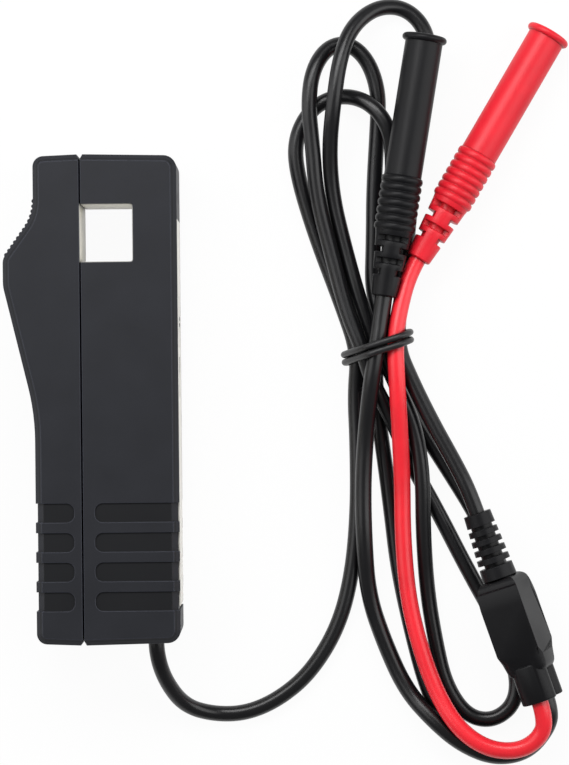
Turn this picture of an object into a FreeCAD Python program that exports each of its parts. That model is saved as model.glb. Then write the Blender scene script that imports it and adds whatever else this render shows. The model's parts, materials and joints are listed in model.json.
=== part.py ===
import FreeCAD, Part
import math
import os

from FreeCAD import Placement, Rotation, Vector

# Clip-on current probe with a sliding jaw, a tied cable, a splitter and two shrouded test plugs.
# The grip lies on its side. X runs across it, Y along it towards the jaw end, Z up from the table.
# The origin is under the middle of the grip. All sizes are in millimetres.

# Grip as a whole
JAW_WIDTH = 12.0
SEAM_GAP = 0.45
WALL = 2.0
EDGE_BEVEL = 1.6
END_CROWN = 0.5
BODY_CORNER = 3.4
JAW_CORNER = 2.8
SEAM_NOTCH_WIDTH = 0.6
SEAM_NOTCH_HEIGHT = 1.3
FIT = 0.1
RUN_CLEARANCE = 0.15
FAR = 500.0

# Thumb ramp on the sliding jaw, each drop measured down from the jaw end
THUMB_REACH = 20.0
RAMP_DROP = 15.8
RAMP_RADIUS = 12.0
HUMP_DROP = 27.0
HUMP_LENGTH = 7.2
HUMP_RADIUS = 4.0
HUMP_FOOT_RADIUS = 10.0
FLANK_DROP = 67.5
FLANK_RADIUS = 60.0
RIDGE_COUNT = 13
RIDGE_RADIUS = 0.55
RIDGE_MARGIN = 3.0

# Jaw window
WINDOW_DROP = 12.9
WINDOW_HEIGHT = 15.3
WINDOW_CORNER = 0.7
JAW_CLEARANCE = 0.8

# Grip grooves, counted up from the cable end
GROOVE_COUNT = 4
GROOVE_FIRST = 11.5
GROOVE_PITCH = 7.7
GROOVE_WIDTH = 5.0
GROOVE_DEPTH = 0.5
GROOVE_CORNER = 2.1
BODY_GROOVE_INSET = 3.0
JAW_GROOVE_INSET = 1.9

# Magnetic core round the window and its sensor
CORE_WALL = 1.5
CORE_THICKNESS = 4.5
CORE_DEPTH = 20.0
POLE_RECESS = 0.05
SENSOR_THICKNESS = 1.6
SENSOR_WIDTH = 3.0
SENSOR_LEG = 0.5

# Circuit board beside the core
BOARD_THICKNESS = 1.2
BOARD_DROP = 7.0
BOARD_HEIGHT = 24.0
BOARD_GAP = 0.2

# Controls on the outer face
CONTROL_PROUD = 0.2
CONTROL_GAP = 0.5
LAMP_DROP = 11.0
LAMP_RADIUS = 1.5
LAMP_SUNK = 0.2
WHEEL_RADIUS = 7.0
WHEEL_THICKNESS = 2.4
WHEEL_NOTCHES = 24
WHEEL_NOTCH_RADIUS = 0.4
WHEEL_SHAFT_RADIUS = 1.0
SHAFT_CLEARANCE = 0.05
POT_LENGTH = 7.0
POT_WIDTH = 6.3
POT_HEIGHT = 5.0
SWITCH_ROOM = 2.0
SWITCH_TRAVEL = 6.0
SWITCH_CASE_WIDTH = 7.0
SWITCH_CASE_END = 1.8
KNOB_LENGTH = 4.0
KNOB_WIDTH = 5.0
KNOB_TONGUE_WIDTH = 1.6
KNOB_TONGUE_DEPTH = 1.0
KNOB_SUNK = 0.15
PLATE_THICKNESS = 0.4
PLATE_DROP = 17.0
PLATE_END = 10.0
PLATE_MARGIN = 3.0

# Battery bay under the lower face
BATTERY_LENGTH = 46.4
BATTERY_WIDTH = 17.5
BATTERY_HEIGHT = 26.5
BATTERY_SIDE = 0.25
BATTERY_HEADROOM = 0.75
TERMINAL_HEIGHT = 2.1
TERMINAL_RADIUS = 3.0
TERMINAL_SPACING = 12.7
SNAP_THICKNESS = 4.4
SNAP_LENGTH = 25.4
SNAP_WIDTH = 13.0
COVER_LAP = 7.4
COVER_TONGUE = 2.0
COVER_TONGUE_THICKNESS = 0.8

# Screws
SCREW_RADIUS = 1.1
SCREW_HEAD_RADIUS = 2.1
SCREW_HEAD_HEIGHT = 1.6
SCREW_HEAD_DEPTH = 3.8
SCREW_LENGTH = 20.0
COVER_SCREW_HEAD_HEIGHT = 1.1
COVER_SCREW_HEAD_DEPTH = 1.4
COVER_SCREW_LENGTH = 7.5
SCREW_EDGE = 3.5
BOSS_RADIUS = 2.8
BOSS_REACH = 9.0

# Guide rail of the sliding jaw and its return spring
RAIL_DROP = 43.0
RAIL_LENGTH = 24.0
RAIL_NECK = 8.0
RAIL_HEAD = 14.0
RAIL_HEAD_THICKNESS = 1.7
RAIL_FOOT = 3.0
RAIL_FOOT_HEIGHT = 10.0
SLOT_WALL = 1.0
SPRING_CLOSED = 25.0
SPRING_RADIUS = 1.45
SPRING_WIRE = 0.6
SPRING_TURNS = 9
SPRING_POINTS = 6
SPRING_END_GAP = 0.2
JAW_BAY_DROP = 71.0
JAW_BAY_END = 10.0

# Cable, leads and the tie
CABLE_DIAMETER = 4.2
LEAD_DIAMETER = 4.5
GROMMET_RADIUS = 3.4
GROMMET_FLANGE_RADIUS = 4.4
GROMMET_FLANGE = 2.0
GROMMET_LENGTH = 8.3
CABLE_EXIT_REACH = 18.15
TIE_DIAMETER = 1.7
TIE_GAP = 0.25
TIE_TURNS = 2
TIE_POINTS = 12
TIE_PITCH = 2.2
ARC_SHARE = 0.45
SELF_GAP_SKIP = 3.0
FIRST_RUN = 5.0

# Splitter
SPLITTER_LENGTH = 27.0
SPLITTER_WIDTH = 13.0
SPLITTER_NARROW = 11.8
SPLITTER_ROUND = 1.7
OUTLET_SPACING = 5.8
OUTLET_RADIUS = 3.6
OUTLET_LENGTH = 5.5
BOOT_LENGTH = 18.0
BOOT_TIP_RADIUS = 3.7
BOOT_RADIUS = 4.7
BOOT_CORE_RADIUS = 2.9
BOOT_COLLAR = 3.3
BOOT_RINGS = 4
BOOT_GAP = 1.1

# Plugs
PLUG_BOOT_LENGTH = 17.5
PLUG_BOOT_TIP_RADIUS = 3.3
PLUG_BOOT_RADIUS = 4.9
PLUG_CORE_RADIUS = 2.6
PLUG_COLLAR = 5.5
PLUG_SLOT_COUNT = 4
PLUG_SLOT = 1.6
PLUG_WEB = 4.4
PLUG_GRIP_LENGTH = 14.7
PLUG_RIB_COUNT = 7
PLUG_RIB_RADIUS = 5.6
PLUG_RIB_RAMP = 0.3
PLUG_GRIP_RADIUS = 5.0
SHROUD_LENGTH = 38.0
SHROUD_RADIUS = 5.0
SHROUD_BORE_RADIUS = 3.9
RIM_RADIUS = 0.95
SPIGOT_LENGTH = 7.0
PIN_RADIUS = 2.0
PIN_RECESS = 3.5
PIN_TIP = 0.6
PIN_FOOT_RADIUS = 1.6
PIN_FOOT_LENGTH = 3.0

# Sizes that follow from the pieces inside the grip. Each drop is measured down from the jaw end.
JAW_TRAVEL = WINDOW_DROP + WINDOW_HEIGHT + JAW_CLEARANCE
SPRING_LENGTH = JAW_TRAVEL + SPRING_CLOSED
RAIL_SIDE = WALL + RAIL_HEAD_THICKNESS + 2 * RUN_CLEARANCE + SLOT_WALL
BODY_WIDTH = RAIL_SIDE + BATTERY_WIDTH + 2 * BATTERY_SIDE + WALL
GRIP_THICKNESS = BATTERY_HEIGHT + 2 * (WALL + BATTERY_HEADROOM)
BOARD_SIDE = CORE_WALL + CORE_THICKNESS + BOARD_GAP + BOARD_THICKNESS
WINDOW_WIDTH = BODY_WIDTH - WALL - SWITCH_ROOM - BOARD_SIDE
BAY_DROP = WINDOW_DROP + WINDOW_HEIGHT + CORE_WALL + CORE_THICKNESS + WALL
WHEEL_DROP = BAY_DROP + CONTROL_GAP + WHEEL_RADIUS
SWITCH_CASE_DROP = WHEEL_DROP + WHEEL_RADIUS + CONTROL_GAP
SWITCH_CASE_LENGTH = SWITCH_TRAVEL + KNOB_LENGTH + 2 * (SWITCH_CASE_END + RUN_CLEARANCE)
SWITCH_DROP = SWITCH_CASE_DROP + SWITCH_CASE_END + RUN_CLEARANCE + KNOB_LENGTH / 2
BOARD_END_DROP = SWITCH_CASE_DROP + SWITCH_CASE_LENGTH + CONTROL_GAP
BOARD_LENGTH = BOARD_END_DROP - BOARD_DROP
BATTERY_DROP = BOARD_END_DROP + CONTROL_GAP + SNAP_THICKNESS + FIT
BOSS_DROP = BATTERY_DROP - SNAP_THICKNESS - 2 * BOSS_RADIUS
GRIP_LENGTH = BATTERY_DROP + BATTERY_LENGTH + 2 * FIT + WALL + GROMMET_LENGTH + END_CROWN

# Places that follow from the sizes above
TOP = GRIP_LENGTH / 2
BOTTOM = -TOP
MID = GRIP_THICKNESS / 2
SEAM_X = (SEAM_GAP + THUMB_REACH - BODY_WIDTH - CONTROL_PROUD) / 2
JAW_X = SEAM_X - SEAM_GAP
OUTER_X = SEAM_X + BODY_WIDTH
INNER_X = OUTER_X - WALL
JAW_OUTER_X = JAW_X - JAW_WIDTH
CORE_Z = MID - CORE_DEPTH / 2
CORE_LEG_X = SEAM_X + WINDOW_WIDTH + CORE_WALL
CORE_TOP_Y = TOP - WINDOW_DROP + CORE_WALL + CORE_THICKNESS
CORE_BOTTOM_Y = TOP - WINDOW_DROP - WINDOW_HEIGHT - CORE_WALL - CORE_THICKNESS
CORE_MID_Y = (CORE_TOP_Y + CORE_BOTTOM_Y) / 2
BOARD_X = CORE_LEG_X + CORE_THICKNESS + BOARD_GAP
BOARD_FACE_X = BOARD_X + BOARD_THICKNESS
SLOT_HEAD_X = SEAM_X + WALL
SLOT_BACK_X = SLOT_HEAD_X + RAIL_HEAD_THICKNESS + 2 * RUN_CLEARANCE
BAY_X = SEAM_X + RAIL_SIDE
BATTERY_X = (BAY_X + INNER_X - BATTERY_WIDTH) / 2
BATTERY_TOP_Y = TOP - BATTERY_DROP
BATTERY_END_Y = BATTERY_TOP_Y - BATTERY_LENGTH
BAY_END_Y = BATTERY_END_Y - 2 * FIT
RAIL_TOP_Y = TOP - RAIL_DROP
RAIL_END_Y = RAIL_TOP_Y - RAIL_LENGTH
SPRING_END_Y = RAIL_END_Y - SPRING_LENGTH
WHEEL_X = OUTER_X + CONTROL_PROUD - WHEEL_RADIUS
COVER_TOP_Y = BATTERY_TOP_Y + TERMINAL_HEIGHT
COVER_END_Y = BAY_END_Y - COVER_LAP
COVER_LEFT_X = BAY_X + FIT
COVER_RIGHT_X = INNER_X - FIT
EXIT = Vector(SEAM_X + CABLE_EXIT_REACH, BOTTOM + END_CROWN, MID)

# Waist of the hank, where the tie holds it: the line across the strands and the line along them
WAIST = Vector(75.1, 13.1, 0)
WAIST_ACROSS = Vector(0.964, 0.265, 0)
WAIST_ALONG = Vector(0.265, -0.964, 0)
LAYERS = (4.9, 9.2, 13.7)


def slot(across, layer):
    """A strand's place in the waist."""
    place = WAIST + WAIST_ACROSS * across
    return (place.x, place.y, LAYERS[layer])


STRANDS = (
    slot(-5.2, 0),
    slot(-0.4, 0),
    slot(4.4, 0),
    slot(-2.8, 1),
    slot(2.0, 1),
    slot(7.2, 1),
    slot(-0.3, 2),
    slot(5.1, 2),
)
STRAND_A, STRAND_C, STRAND_B2, STRAND_B, STRAND_A2, STRAND_C2, STRAND_BLACK, STRAND_RED = STRANDS
CABLE_LIES = CABLE_DIAMETER / 2

# Splitter and plugs where they lie: the end that the cable enters, and the way they point
SPLITTER_END = Vector(101.0, -31.2, 12.3)
SPLITTER_WAY = Vector(0.3255, -0.9455, 0)
SPLITTER_ROLL = 68.0
BLACK_PLUG_END = Vector(76.8, 26.6, 12.9)
BLACK_PLUG_MOUTH = Vector(88.6, 96.4, 11.6)
RED_PLUG_END = Vector(86.1, 36.5, 9.5)
RED_PLUG_MOUTH = Vector(121.2, 95.5, 6.1)


def turn(centre, half_width, half_height, lean, first, last, heights):
    """Route points round one end of a loop of the hank: part of an ellipse, with a height at each point."""
    points = []
    step = (last - first) / (len(heights) - 1)
    for count, height in enumerate(heights):
        angle = math.radians(first + step * count)
        across = half_width * math.cos(angle)
        along = half_height * math.sin(angle)
        cos_lean = math.cos(math.radians(lean))
        sin_lean = math.sin(math.radians(lean))
        x = centre[0] + across * cos_lean - along * sin_lean
        y = centre[1] + across * sin_lean + along * cos_lean
        points.append((x, y, height))
    return points


# Routes. Each list is followed from the probe towards the plugs.
LOW = CABLE_LIES
TAIL_ROUTE = [
    (EXIT.x, EXIT.y, EXIT.z),
    (EXIT.x, -70.5, EXIT.z),
    (17.6, -77.2, 11.0),
    (22.8, -82.0, 5.6),
    (30.6, -84.6, LOW),
    (39.4, -84.4, LOW),
    (48.2, -80.6, LOW),
    (56.6, -73.6, LOW),
    (64.0, -61.8, LOW),
    (67.9, -47.7, LOW),
    (69.6, -30.3, LOW),
    (69.6, -11.6, LOW),
]
LOOP_A = [
    (69.1, 0.5, 2.6),
    STRAND_A,
    (65.9, 24.6, 2.6),
    (58.6, 44.3, LOW),
    *turn((66.3, 66.1), 13.9, 16.6, 0, 195, -8, (LOW, LOW, LOW, LOW, 6.4, 7.6, 4.2)),
    (80.1, 48.6, LOW),
    (80.1, 35.2, LOW),
    (78.7, 22.8, 8.4),
    STRAND_A2,
]
LOOP_P = [
    (81.6, 4.4, 8.3),
    (84.9, -7.6, 7.6),
    (86.9, -21.0, 7.4),
    (86.9, -35.7, 5.4),
    (87.9, -51.9, LOW),
    *turn((101.8, -73.7), 10.7, 12.0, 12, 192, 385, (LOW,) * 6),
    (106.6, -60.7, LOW),
    (98.9, -46.7, LOW),
    (90.8, -30.5, LOW),
    (83.7, -17.6, 2.2),
    (78.3, -4.9, 6.6),
    (73.9, 5.0, 8.3),
    STRAND_B,
]
LOOP_B = [
    (67.9, 22.6, 7.8),
    (62.5, 41.9, 6.2),
    *turn((66.9, 78.9), 9.6, 17.7, 2, 215, -25, (6.2, 6.9, 6.2, 3.2, LOW, LOW, LOW, LOW)),
    (75.3, 55.3, LOW),
    (74.8, 40.6, LOW),
    (75.6, 26.4, 2.2),
    STRAND_B2,
]
LOOP_Q = [
    (80.1, 4.9, 3.2),
    (85.4, -6.4, LOW),
    (93.6, -19.3, LOW),
    (101.8, -32.8, LOW),
    (108.8, -48.1, LOW),
    (114.3, -64.2, LOW),
    *turn((102.9, -77.4), 15.8, 15.9, 8, 8, -190, (LOW,) * 7),
    (82.7, -61.2, LOW),
    (80.2, -46.5, LOW),
    (78.5, -30.4, LOW),
    (76.7, -15.6, LOW),
    (74.7, -0.9, LOW),
    STRAND_C,
]
LOOP_C = [
    (71.0, 27.2, 5.4),
    (67.6, 43.2, 5.0),
    (65.1, 57.8, 7.4),
    (63.6, 72.2, 11.4),
    *turn((78.0, 90.0), 12.0, 15.2, -18, 195, 15, (10.6, 7.8, 4.2, LOW, LOW, LOW)),
    (88.7, 79.3, LOW),
    (85.5, 61.9, LOW),
    (84.7, 47.2, LOW),
    (85.6, 31.6, 4.4),
    STRAND_C2,
]
SPLITTER_RUN = [
    (87.5, 3.0, 9.2),
    (90.7, -7.7, 10.0),
    (95.3, -17.5, 11.4),
    (98.9, -25.1, 12.3),
    (SPLITTER_END.x, SPLITTER_END.y, SPLITTER_END.z),
]
HANK_ROUTE = LOOP_A + LOOP_P + LOOP_B + LOOP_Q + LOOP_C + SPLITTER_RUN


def solid_between(low, high):
    """A box from one corner to the other."""
    size = high - low
    return Part.makeBox(size.x, size.y, size.z, low)


def rounded_wire(corners):
    """A closed outline at z 0 through corners of (x, y, radius)."""
    edges = []
    last = None
    first = None
    count = len(corners)
    for index, (x, y, radius) in enumerate(corners):
        here = Vector(x, y, 0)
        before = Vector(corners[index - 1][0], corners[index - 1][1], 0)
        after = Vector(corners[(index + 1) % count][0], corners[(index + 1) % count][1], 0)
        back = (before - here).normalize()
        ahead = (after - here).normalize()
        half = back.getAngle(ahead) / 2
        reach = radius / math.tan(half)
        start = here + back * reach
        end = here + ahead * reach
        if last is not None:
            edges.append(Part.LineSegment(last, start).toShape())
        if radius:
            middle = here + (back + ahead).normalize() * (radius / math.sin(half) - radius)
            edges.append(Part.Arc(start, middle, end).toShape())
        if first is None:
            first = start
        last = end
    edges.append(Part.LineSegment(last, first).toShape())
    return Part.Wire(edges)


def prism(corners, low, high):
    """The outline through the corners, from one height to another."""
    face = Part.Face(rounded_wire(corners))
    face.translate(Vector(0, 0, low))
    return face.extrude(Vector(0, 0, high - low))


def edges_at(shape, height, seam_x):
    """The edges in one horizontal plane, apart from those along the seam."""
    found = []
    for edge in shape.Edges:
        box = edge.BoundBox
        level = abs(box.ZMin - height) < 1e-6 and abs(box.ZMax - height) < 1e-6
        on_seam = abs(box.XMin - seam_x) < 1e-6 and abs(box.XMax - seam_x) < 1e-6
        if level and not on_seam:
            found.append(edge)
    return found


def bevelled(corners, seam_x, low, high):
    """A prism whose outer edges are bevelled above and below, and whose seam edges stay sharp."""
    shape = prism(corners, low, high)
    edges = edges_at(shape, low, seam_x) + edges_at(shape, high, seam_x)
    return shape.makeChamfer(EDGE_BEVEL, edges)


def upper_half(shape):
    box = solid_between(Vector(-FAR, -FAR, MID), Vector(FAR, FAR, FAR))
    return shape.common(box).removeSplitter()


def lower_half(shape):
    box = solid_between(Vector(-FAR, -FAR, -FAR), Vector(FAR, FAR, MID))
    return shape.common(box).removeSplitter()


def seam_notch(seam_x, side, end_y, way):
    """The small wedge cut from a half's corner where the seam meets an end. Side is the half's direction."""
    points = [
        Vector(seam_x - side * FIT, end_y + way * FIT, -1),
        Vector(seam_x + side * SEAM_NOTCH_WIDTH, end_y + way * FIT, -1),
        Vector(seam_x - side * FIT, end_y - way * SEAM_NOTCH_HEIGHT, -1),
    ]
    face = Part.Face(Part.makePolygon(points + points[:1]))
    return face.extrude(Vector(0, 0, GRIP_THICKNESS + 2))


def grooves(inner_x, outer_x):
    """Grip grooves that run from near the seam over the face and round the outer edge."""
    side = 1 if outer_x > inner_x else -1
    floor_x = outer_x - side * GROOVE_DEPTH
    far_x = inner_x - side * BODY_WIDTH
    low = GROOVE_DEPTH
    high = GRIP_THICKNESS - GROOVE_DEPTH
    kept = prism(
        [(far_x, BOTTOM, 0), (floor_x, BOTTOM, 0), (floor_x, TOP, 0), (far_x, TOP, 0)],
        low,
        high,
    )
    edges = []
    for edge in kept.Edges:
        box = edge.BoundBox
        if abs(box.XMin - floor_x) < 1e-6 and abs(box.XMax - floor_x) < 1e-6 and box.YLength > 1:
            edges.append(edge)
    kept = kept.makeChamfer(EDGE_BEVEL, edges)
    cuts = []
    for index in range(GROOVE_COUNT):
        middle = BOTTOM + GROOVE_FIRST + index * GROOVE_PITCH
        past_x = outer_x + side * WALL
        corners = [
            (inner_x, middle - GROOVE_WIDTH / 2, GROOVE_CORNER),
            (past_x, middle - GROOVE_WIDTH / 2, 0),
            (past_x, middle + GROOVE_WIDTH / 2, 0),
            (inner_x, middle + GROOVE_WIDTH / 2, GROOVE_CORNER),
        ]
        cuts.append(prism(corners, -1, GRIP_THICKNESS + 1).cut(kept))
    return cuts


def screw(x, y, seat, head_height, length):
    """A screw driven up from below: its head hangs under the seat."""
    head = Part.makeCylinder(SCREW_HEAD_RADIUS, head_height, Vector(x, y, seat - head_height))
    shank = Part.makeCylinder(SCREW_RADIUS, length, Vector(x, y, seat))
    return head.fuse(shank).removeSplitter()


def screw_hole(x, y, seat, length):
    """Room for a screw: a recess for the head, open below, and the hole above it."""
    recess = Part.makeCylinder(SCREW_HEAD_RADIUS + FIT, seat + 1, Vector(x, y, -1))
    hole = Part.makeCylinder(SCREW_RADIUS + SHAFT_CLEARANCE, length + FIT, Vector(x, y, seat))
    return recess.fuse(hole)


def body_outline():
    return [
        (SEAM_X, TOP, 0),
        (SEAM_X, BOTTOM, 0),
        (OUTER_X, BOTTOM + END_CROWN, BODY_CORNER),
        (OUTER_X, TOP - END_CROWN, BODY_CORNER),
    ]


def jaw_outline():
    hump_x = JAW_X - THUMB_REACH
    return [
        (JAW_X, BOTTOM, 0),
        (JAW_X, TOP, 0),
        (JAW_OUTER_X, TOP - END_CROWN, JAW_CORNER),
        (JAW_OUTER_X, TOP - RAMP_DROP, RAMP_RADIUS),
        (hump_x, TOP - HUMP_DROP, HUMP_RADIUS),
        (hump_x, TOP - HUMP_DROP - HUMP_LENGTH, HUMP_FOOT_RADIUS),
        (JAW_OUTER_X, TOP - FLANK_DROP, FLANK_RADIUS),
        (JAW_OUTER_X, BOTTOM + END_CROWN, JAW_CORNER),
    ]


def body_screw_places():
    return [
        (SEAM_X + SCREW_EDGE + WALL, TOP - SCREW_EDGE),
        (OUTER_X - SCREW_EDGE - WALL, TOP - SCREW_EDGE - END_CROWN),
        (SEAM_X + BOSS_REACH, TOP - BOSS_DROP),
        (SEAM_X + BOSS_REACH, BAY_END_Y - COVER_LAP / 2),
    ]


def jaw_screw_places():
    middle_x = JAW_X - JAW_WIDTH / 2
    return [
        (middle_x, TOP - SCREW_EDGE),
        (middle_x - WALL, RAIL_END_Y + RAIL_LENGTH / 2),
        (middle_x, BOTTOM + JAW_BAY_END / 2),
    ]


def core_corners(grow):
    """Outline of the body's C-shaped core, grown by a clearance."""
    left = SEAM_X + POLE_RECESS - grow
    right = CORE_LEG_X + CORE_THICKNESS + grow
    inner = CORE_LEG_X - grow
    return [
        (left, CORE_TOP_Y + grow, 0),
        (left, CORE_TOP_Y - CORE_THICKNESS - grow, 0),
        (inner, CORE_TOP_Y - CORE_THICKNESS - grow, 0),
        (inner, CORE_BOTTOM_Y + CORE_THICKNESS + grow, 0),
        (left, CORE_BOTTOM_Y + CORE_THICKNESS + grow, 0),
        (left, CORE_BOTTOM_Y - grow, 0),
        (right, CORE_BOTTOM_Y - grow, 0),
        (right, CORE_TOP_Y + grow, 0),
    ]


def jaw_core_corners(grow):
    """Outline of the jaw's core: a bar with a pole at each end that comes to the seam."""
    face = JAW_X - POLE_RECESS + grow
    step = JAW_X - CORE_WALL + grow
    back = JAW_X - CORE_WALL - CORE_THICKNESS - grow
    return [
        (face, CORE_TOP_Y + grow, 0),
        (back, CORE_TOP_Y + grow, 0),
        (back, CORE_BOTTOM_Y - grow, 0),
        (face, CORE_BOTTOM_Y - grow, 0),
        (face, CORE_BOTTOM_Y + CORE_THICKNESS + grow, 0),
        (step, CORE_BOTTOM_Y + CORE_THICKNESS + grow, 0),
        (step, CORE_TOP_Y - CORE_THICKNESS - grow, 0),
        (face, CORE_TOP_Y - CORE_THICKNESS - grow, 0),
    ]


def guide_slot():
    """Undercut slot in the body's seam face for the rail, long enough for the spring below it."""
    top = RAIL_TOP_Y + SPRING_END_GAP
    end = SPRING_END_Y - SPRING_END_GAP
    neck = RAIL_NECK / 2 + RUN_CLEARANCE
    head = RAIL_HEAD / 2 + RUN_CLEARANCE
    neck_box = solid_between(
        Vector(SEAM_X - 1, end, MID - neck), Vector(SLOT_BACK_X, top, MID + neck)
    )
    head_box = solid_between(
        Vector(SLOT_HEAD_X, end, MID - head), Vector(SLOT_BACK_X, top, MID + head)
    )
    return neck_box.fuse(head_box)


def control_openings(from_x, to_x):
    """Openings in the outer face for the wheel and the switch knob."""
    wheel_half = WHEEL_THICKNESS / 2 + 2 * RUN_CLEARANCE
    wheel_reach = WHEEL_RADIUS - CONTROL_PROUD
    wheel_y = TOP - WHEEL_DROP
    wheel_slot = solid_between(
        Vector(from_x, wheel_y - wheel_reach, MID - wheel_half),
        Vector(to_x, wheel_y + wheel_reach, MID + wheel_half),
    )
    knob_half = KNOB_WIDTH / 2 + RUN_CLEARANCE
    knob_top = TOP - SWITCH_DROP + KNOB_LENGTH / 2 + RUN_CLEARANCE
    knob_end = knob_top - SWITCH_TRAVEL - KNOB_LENGTH - 2 * RUN_CLEARANCE
    knob_slot = solid_between(
        Vector(from_x, knob_end, MID - knob_half), Vector(to_x, knob_top, MID + knob_half)
    )
    return wheel_slot.fuse(knob_slot)


def face_plate_box(grow):
    return solid_between(
        Vector(OUTER_X - PLATE_THICKNESS, BOTTOM + PLATE_END - grow, PLATE_MARGIN - grow),
        Vector(OUTER_X + grow, TOP - PLATE_DROP + grow, GRIP_THICKNESS - PLATE_MARGIN + grow),
    )


def cover_box(grow):
    return solid_between(
        Vector(COVER_LEFT_X - grow, COVER_END_Y - grow, -grow),
        Vector(COVER_RIGHT_X + grow, COVER_TOP_Y + grow, WALL),
    )


def cover_screw_place():
    return ((COVER_LEFT_X + COVER_RIGHT_X) / 2, BAY_END_Y - COVER_LAP / 2)


def grommet_shape(grow):
    """Bush in the cable end of the body: a barrel with a flange inside."""
    way = Vector(0, 1, 0)
    barrel = Part.makeCylinder(GROMMET_RADIUS + grow, GROMMET_LENGTH + grow, EXIT, way)
    flange_at = EXIT + way * (GROMMET_LENGTH - GROMMET_FLANGE - grow)
    flange = Part.makeCylinder(GROMMET_FLANGE_RADIUS + grow, GROMMET_FLANGE + 2 * grow, flange_at, way)
    return barrel.fuse(flange).removeSplitter()


def body_shells():
    """The body's two halves, cut from one bevelled block."""
    block = bevelled(body_outline(), SEAM_X, 0, GRIP_THICKNESS)
    window_top = TOP - WINDOW_DROP
    window_end = window_top - WINDOW_HEIGHT
    window_right = SEAM_X + WINDOW_WIDTH
    window = prism(
        [
            (SEAM_X - 1, window_end, 0),
            (window_right, window_end, WINDOW_CORNER),
            (window_right, window_top, WINDOW_CORNER),
            (SEAM_X - 1, window_top, 0),
        ],
        -1,
        GRIP_THICKNESS + 1,
    )
    core_room = prism(core_corners(FIT), CORE_Z - FIT, CORE_Z + CORE_DEPTH + FIT)
    board_z = MID - BOARD_HEIGHT / 2 - FIT
    board_room = solid_between(
        Vector(BOARD_X - FIT, TOP - BOARD_DROP - BOARD_LENGTH, board_z),
        Vector(INNER_X, TOP - BOARD_DROP + FIT, board_z + BOARD_HEIGHT + 2 * FIT),
    )
    bay = solid_between(
        Vector(BAY_X, BAY_END_Y, WALL), Vector(INNER_X, TOP - BAY_DROP, GRIP_THICKNESS - WALL)
    )
    boss_x, boss_y = body_screw_places()[2]
    bay = bay.cut(Part.makeCylinder(BOSS_RADIUS, GRIP_THICKNESS, Vector(boss_x, boss_y, 0)))
    lamp_hole = Part.makeCylinder(
        LAMP_RADIUS + FIT, 2 * WALL, Vector(INNER_X - 1, TOP - LAMP_DROP, MID), Vector(1, 0, 0)
    )
    cuts = [window, core_room, board_room, bay, lamp_hole, guide_slot(), face_plate_box(FIT)]
    cuts.append(control_openings(INNER_X - 1, OUTER_X + 1))
    cuts.append(cover_box(FIT))
    cuts.append(grommet_shape(0))
    cuts.append(Part.makeCylinder(GROMMET_RADIUS, END_CROWN + 1, EXIT, Vector(0, -1, 0)))
    cuts.append(seam_notch(SEAM_X, 1, TOP, 1))
    cuts.append(seam_notch(SEAM_X, 1, BOTTOM, -1))
    cuts += grooves(SEAM_X + BODY_GROOVE_INSET, OUTER_X)
    for x, y in body_screw_places():
        cuts.append(screw_hole(x, y, SCREW_HEAD_DEPTH, SCREW_LENGTH))
    x, y = cover_screw_place()
    hole_length = COVER_SCREW_HEAD_DEPTH + COVER_SCREW_LENGTH + FIT
    cuts.append(Part.makeCylinder(SCREW_RADIUS + SHAFT_CLEARANCE, hole_length, Vector(x, y, 0)))
    tongue = cover_tongue(FIT)
    cuts.append(tongue)
    block = block.cut(cuts)
    return upper_half(block), lower_half(block)


def cover_tongue(grow):
    """Tongue of the battery cover, which lies inside the bay's wall."""
    return solid_between(
        Vector(COVER_LEFT_X + COVER_TONGUE, COVER_TOP_Y - COVER_TONGUE, WALL),
        Vector(
            COVER_RIGHT_X - COVER_TONGUE,
            COVER_TOP_Y + COVER_TONGUE,
            WALL + COVER_TONGUE_THICKNESS + grow,
        ),
    )


def battery_cover():
    plate = cover_box(0)
    shape = plate.fuse(cover_tongue(0)).removeSplitter()
    x, y = cover_screw_place()
    shape = shape.cut(screw_hole(x, y, COVER_SCREW_HEAD_DEPTH, COVER_SCREW_LENGTH))
    return shape.cut(grooves(SEAM_X + BODY_GROOVE_INSET, OUTER_X))


def ramp_ridges():
    """Ridges across the thumb ramp, evenly spaced from the ramp's foot to the hump."""
    wire = rounded_wire(jaw_outline())
    ramp_low = TOP - HUMP_DROP
    ramp_high = TOP - RAMP_DROP + RAMP_RADIUS / 2
    ramp = []
    for edge in wire.Edges:
        box = edge.BoundBox
        if box.YMin > ramp_low and box.YMax < ramp_high and box.XMax < JAW_OUTER_X + FIT:
            ramp.append(edge)
    path = Part.Wire(Part.__sortEdges__(ramp))
    ridges = []
    for point in path.discretize(RIDGE_COUNT):
        foot = Vector(point.x, point.y, EDGE_BEVEL + RIDGE_MARGIN)
        height = GRIP_THICKNESS - 2 * (EDGE_BEVEL + RIDGE_MARGIN)
        ridges.append(Part.makeCylinder(RIDGE_RADIUS, height, foot))
    return ridges


def jaw_shells():
    """The sliding jaw's two halves, cut from one bevelled block."""
    block = bevelled(jaw_outline(), JAW_X, 0, GRIP_THICKNESS)
    block = block.fuse(ramp_ridges()).removeSplitter()
    core_room = prism(jaw_core_corners(FIT), CORE_Z - FIT, CORE_Z + CORE_DEPTH + FIT)
    bay = solid_between(
        Vector(JAW_OUTER_X + WALL, BOTTOM + JAW_BAY_END, WALL),
        Vector(JAW_X - WALL, TOP - JAW_BAY_DROP, GRIP_THICKNESS - WALL),
    )
    cuts = [core_room, bay, rail_foot()]
    cuts.append(seam_notch(JAW_X, -1, TOP, 1))
    cuts.append(seam_notch(JAW_X, -1, BOTTOM, -1))
    cuts += grooves(JAW_X - JAW_GROOVE_INSET, JAW_OUTER_X)
    for x, y in jaw_screw_places():
        cuts.append(screw_hole(x, y, SCREW_HEAD_DEPTH, SCREW_LENGTH))
    block = block.cut(cuts)
    return upper_half(block), lower_half(block)


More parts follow.
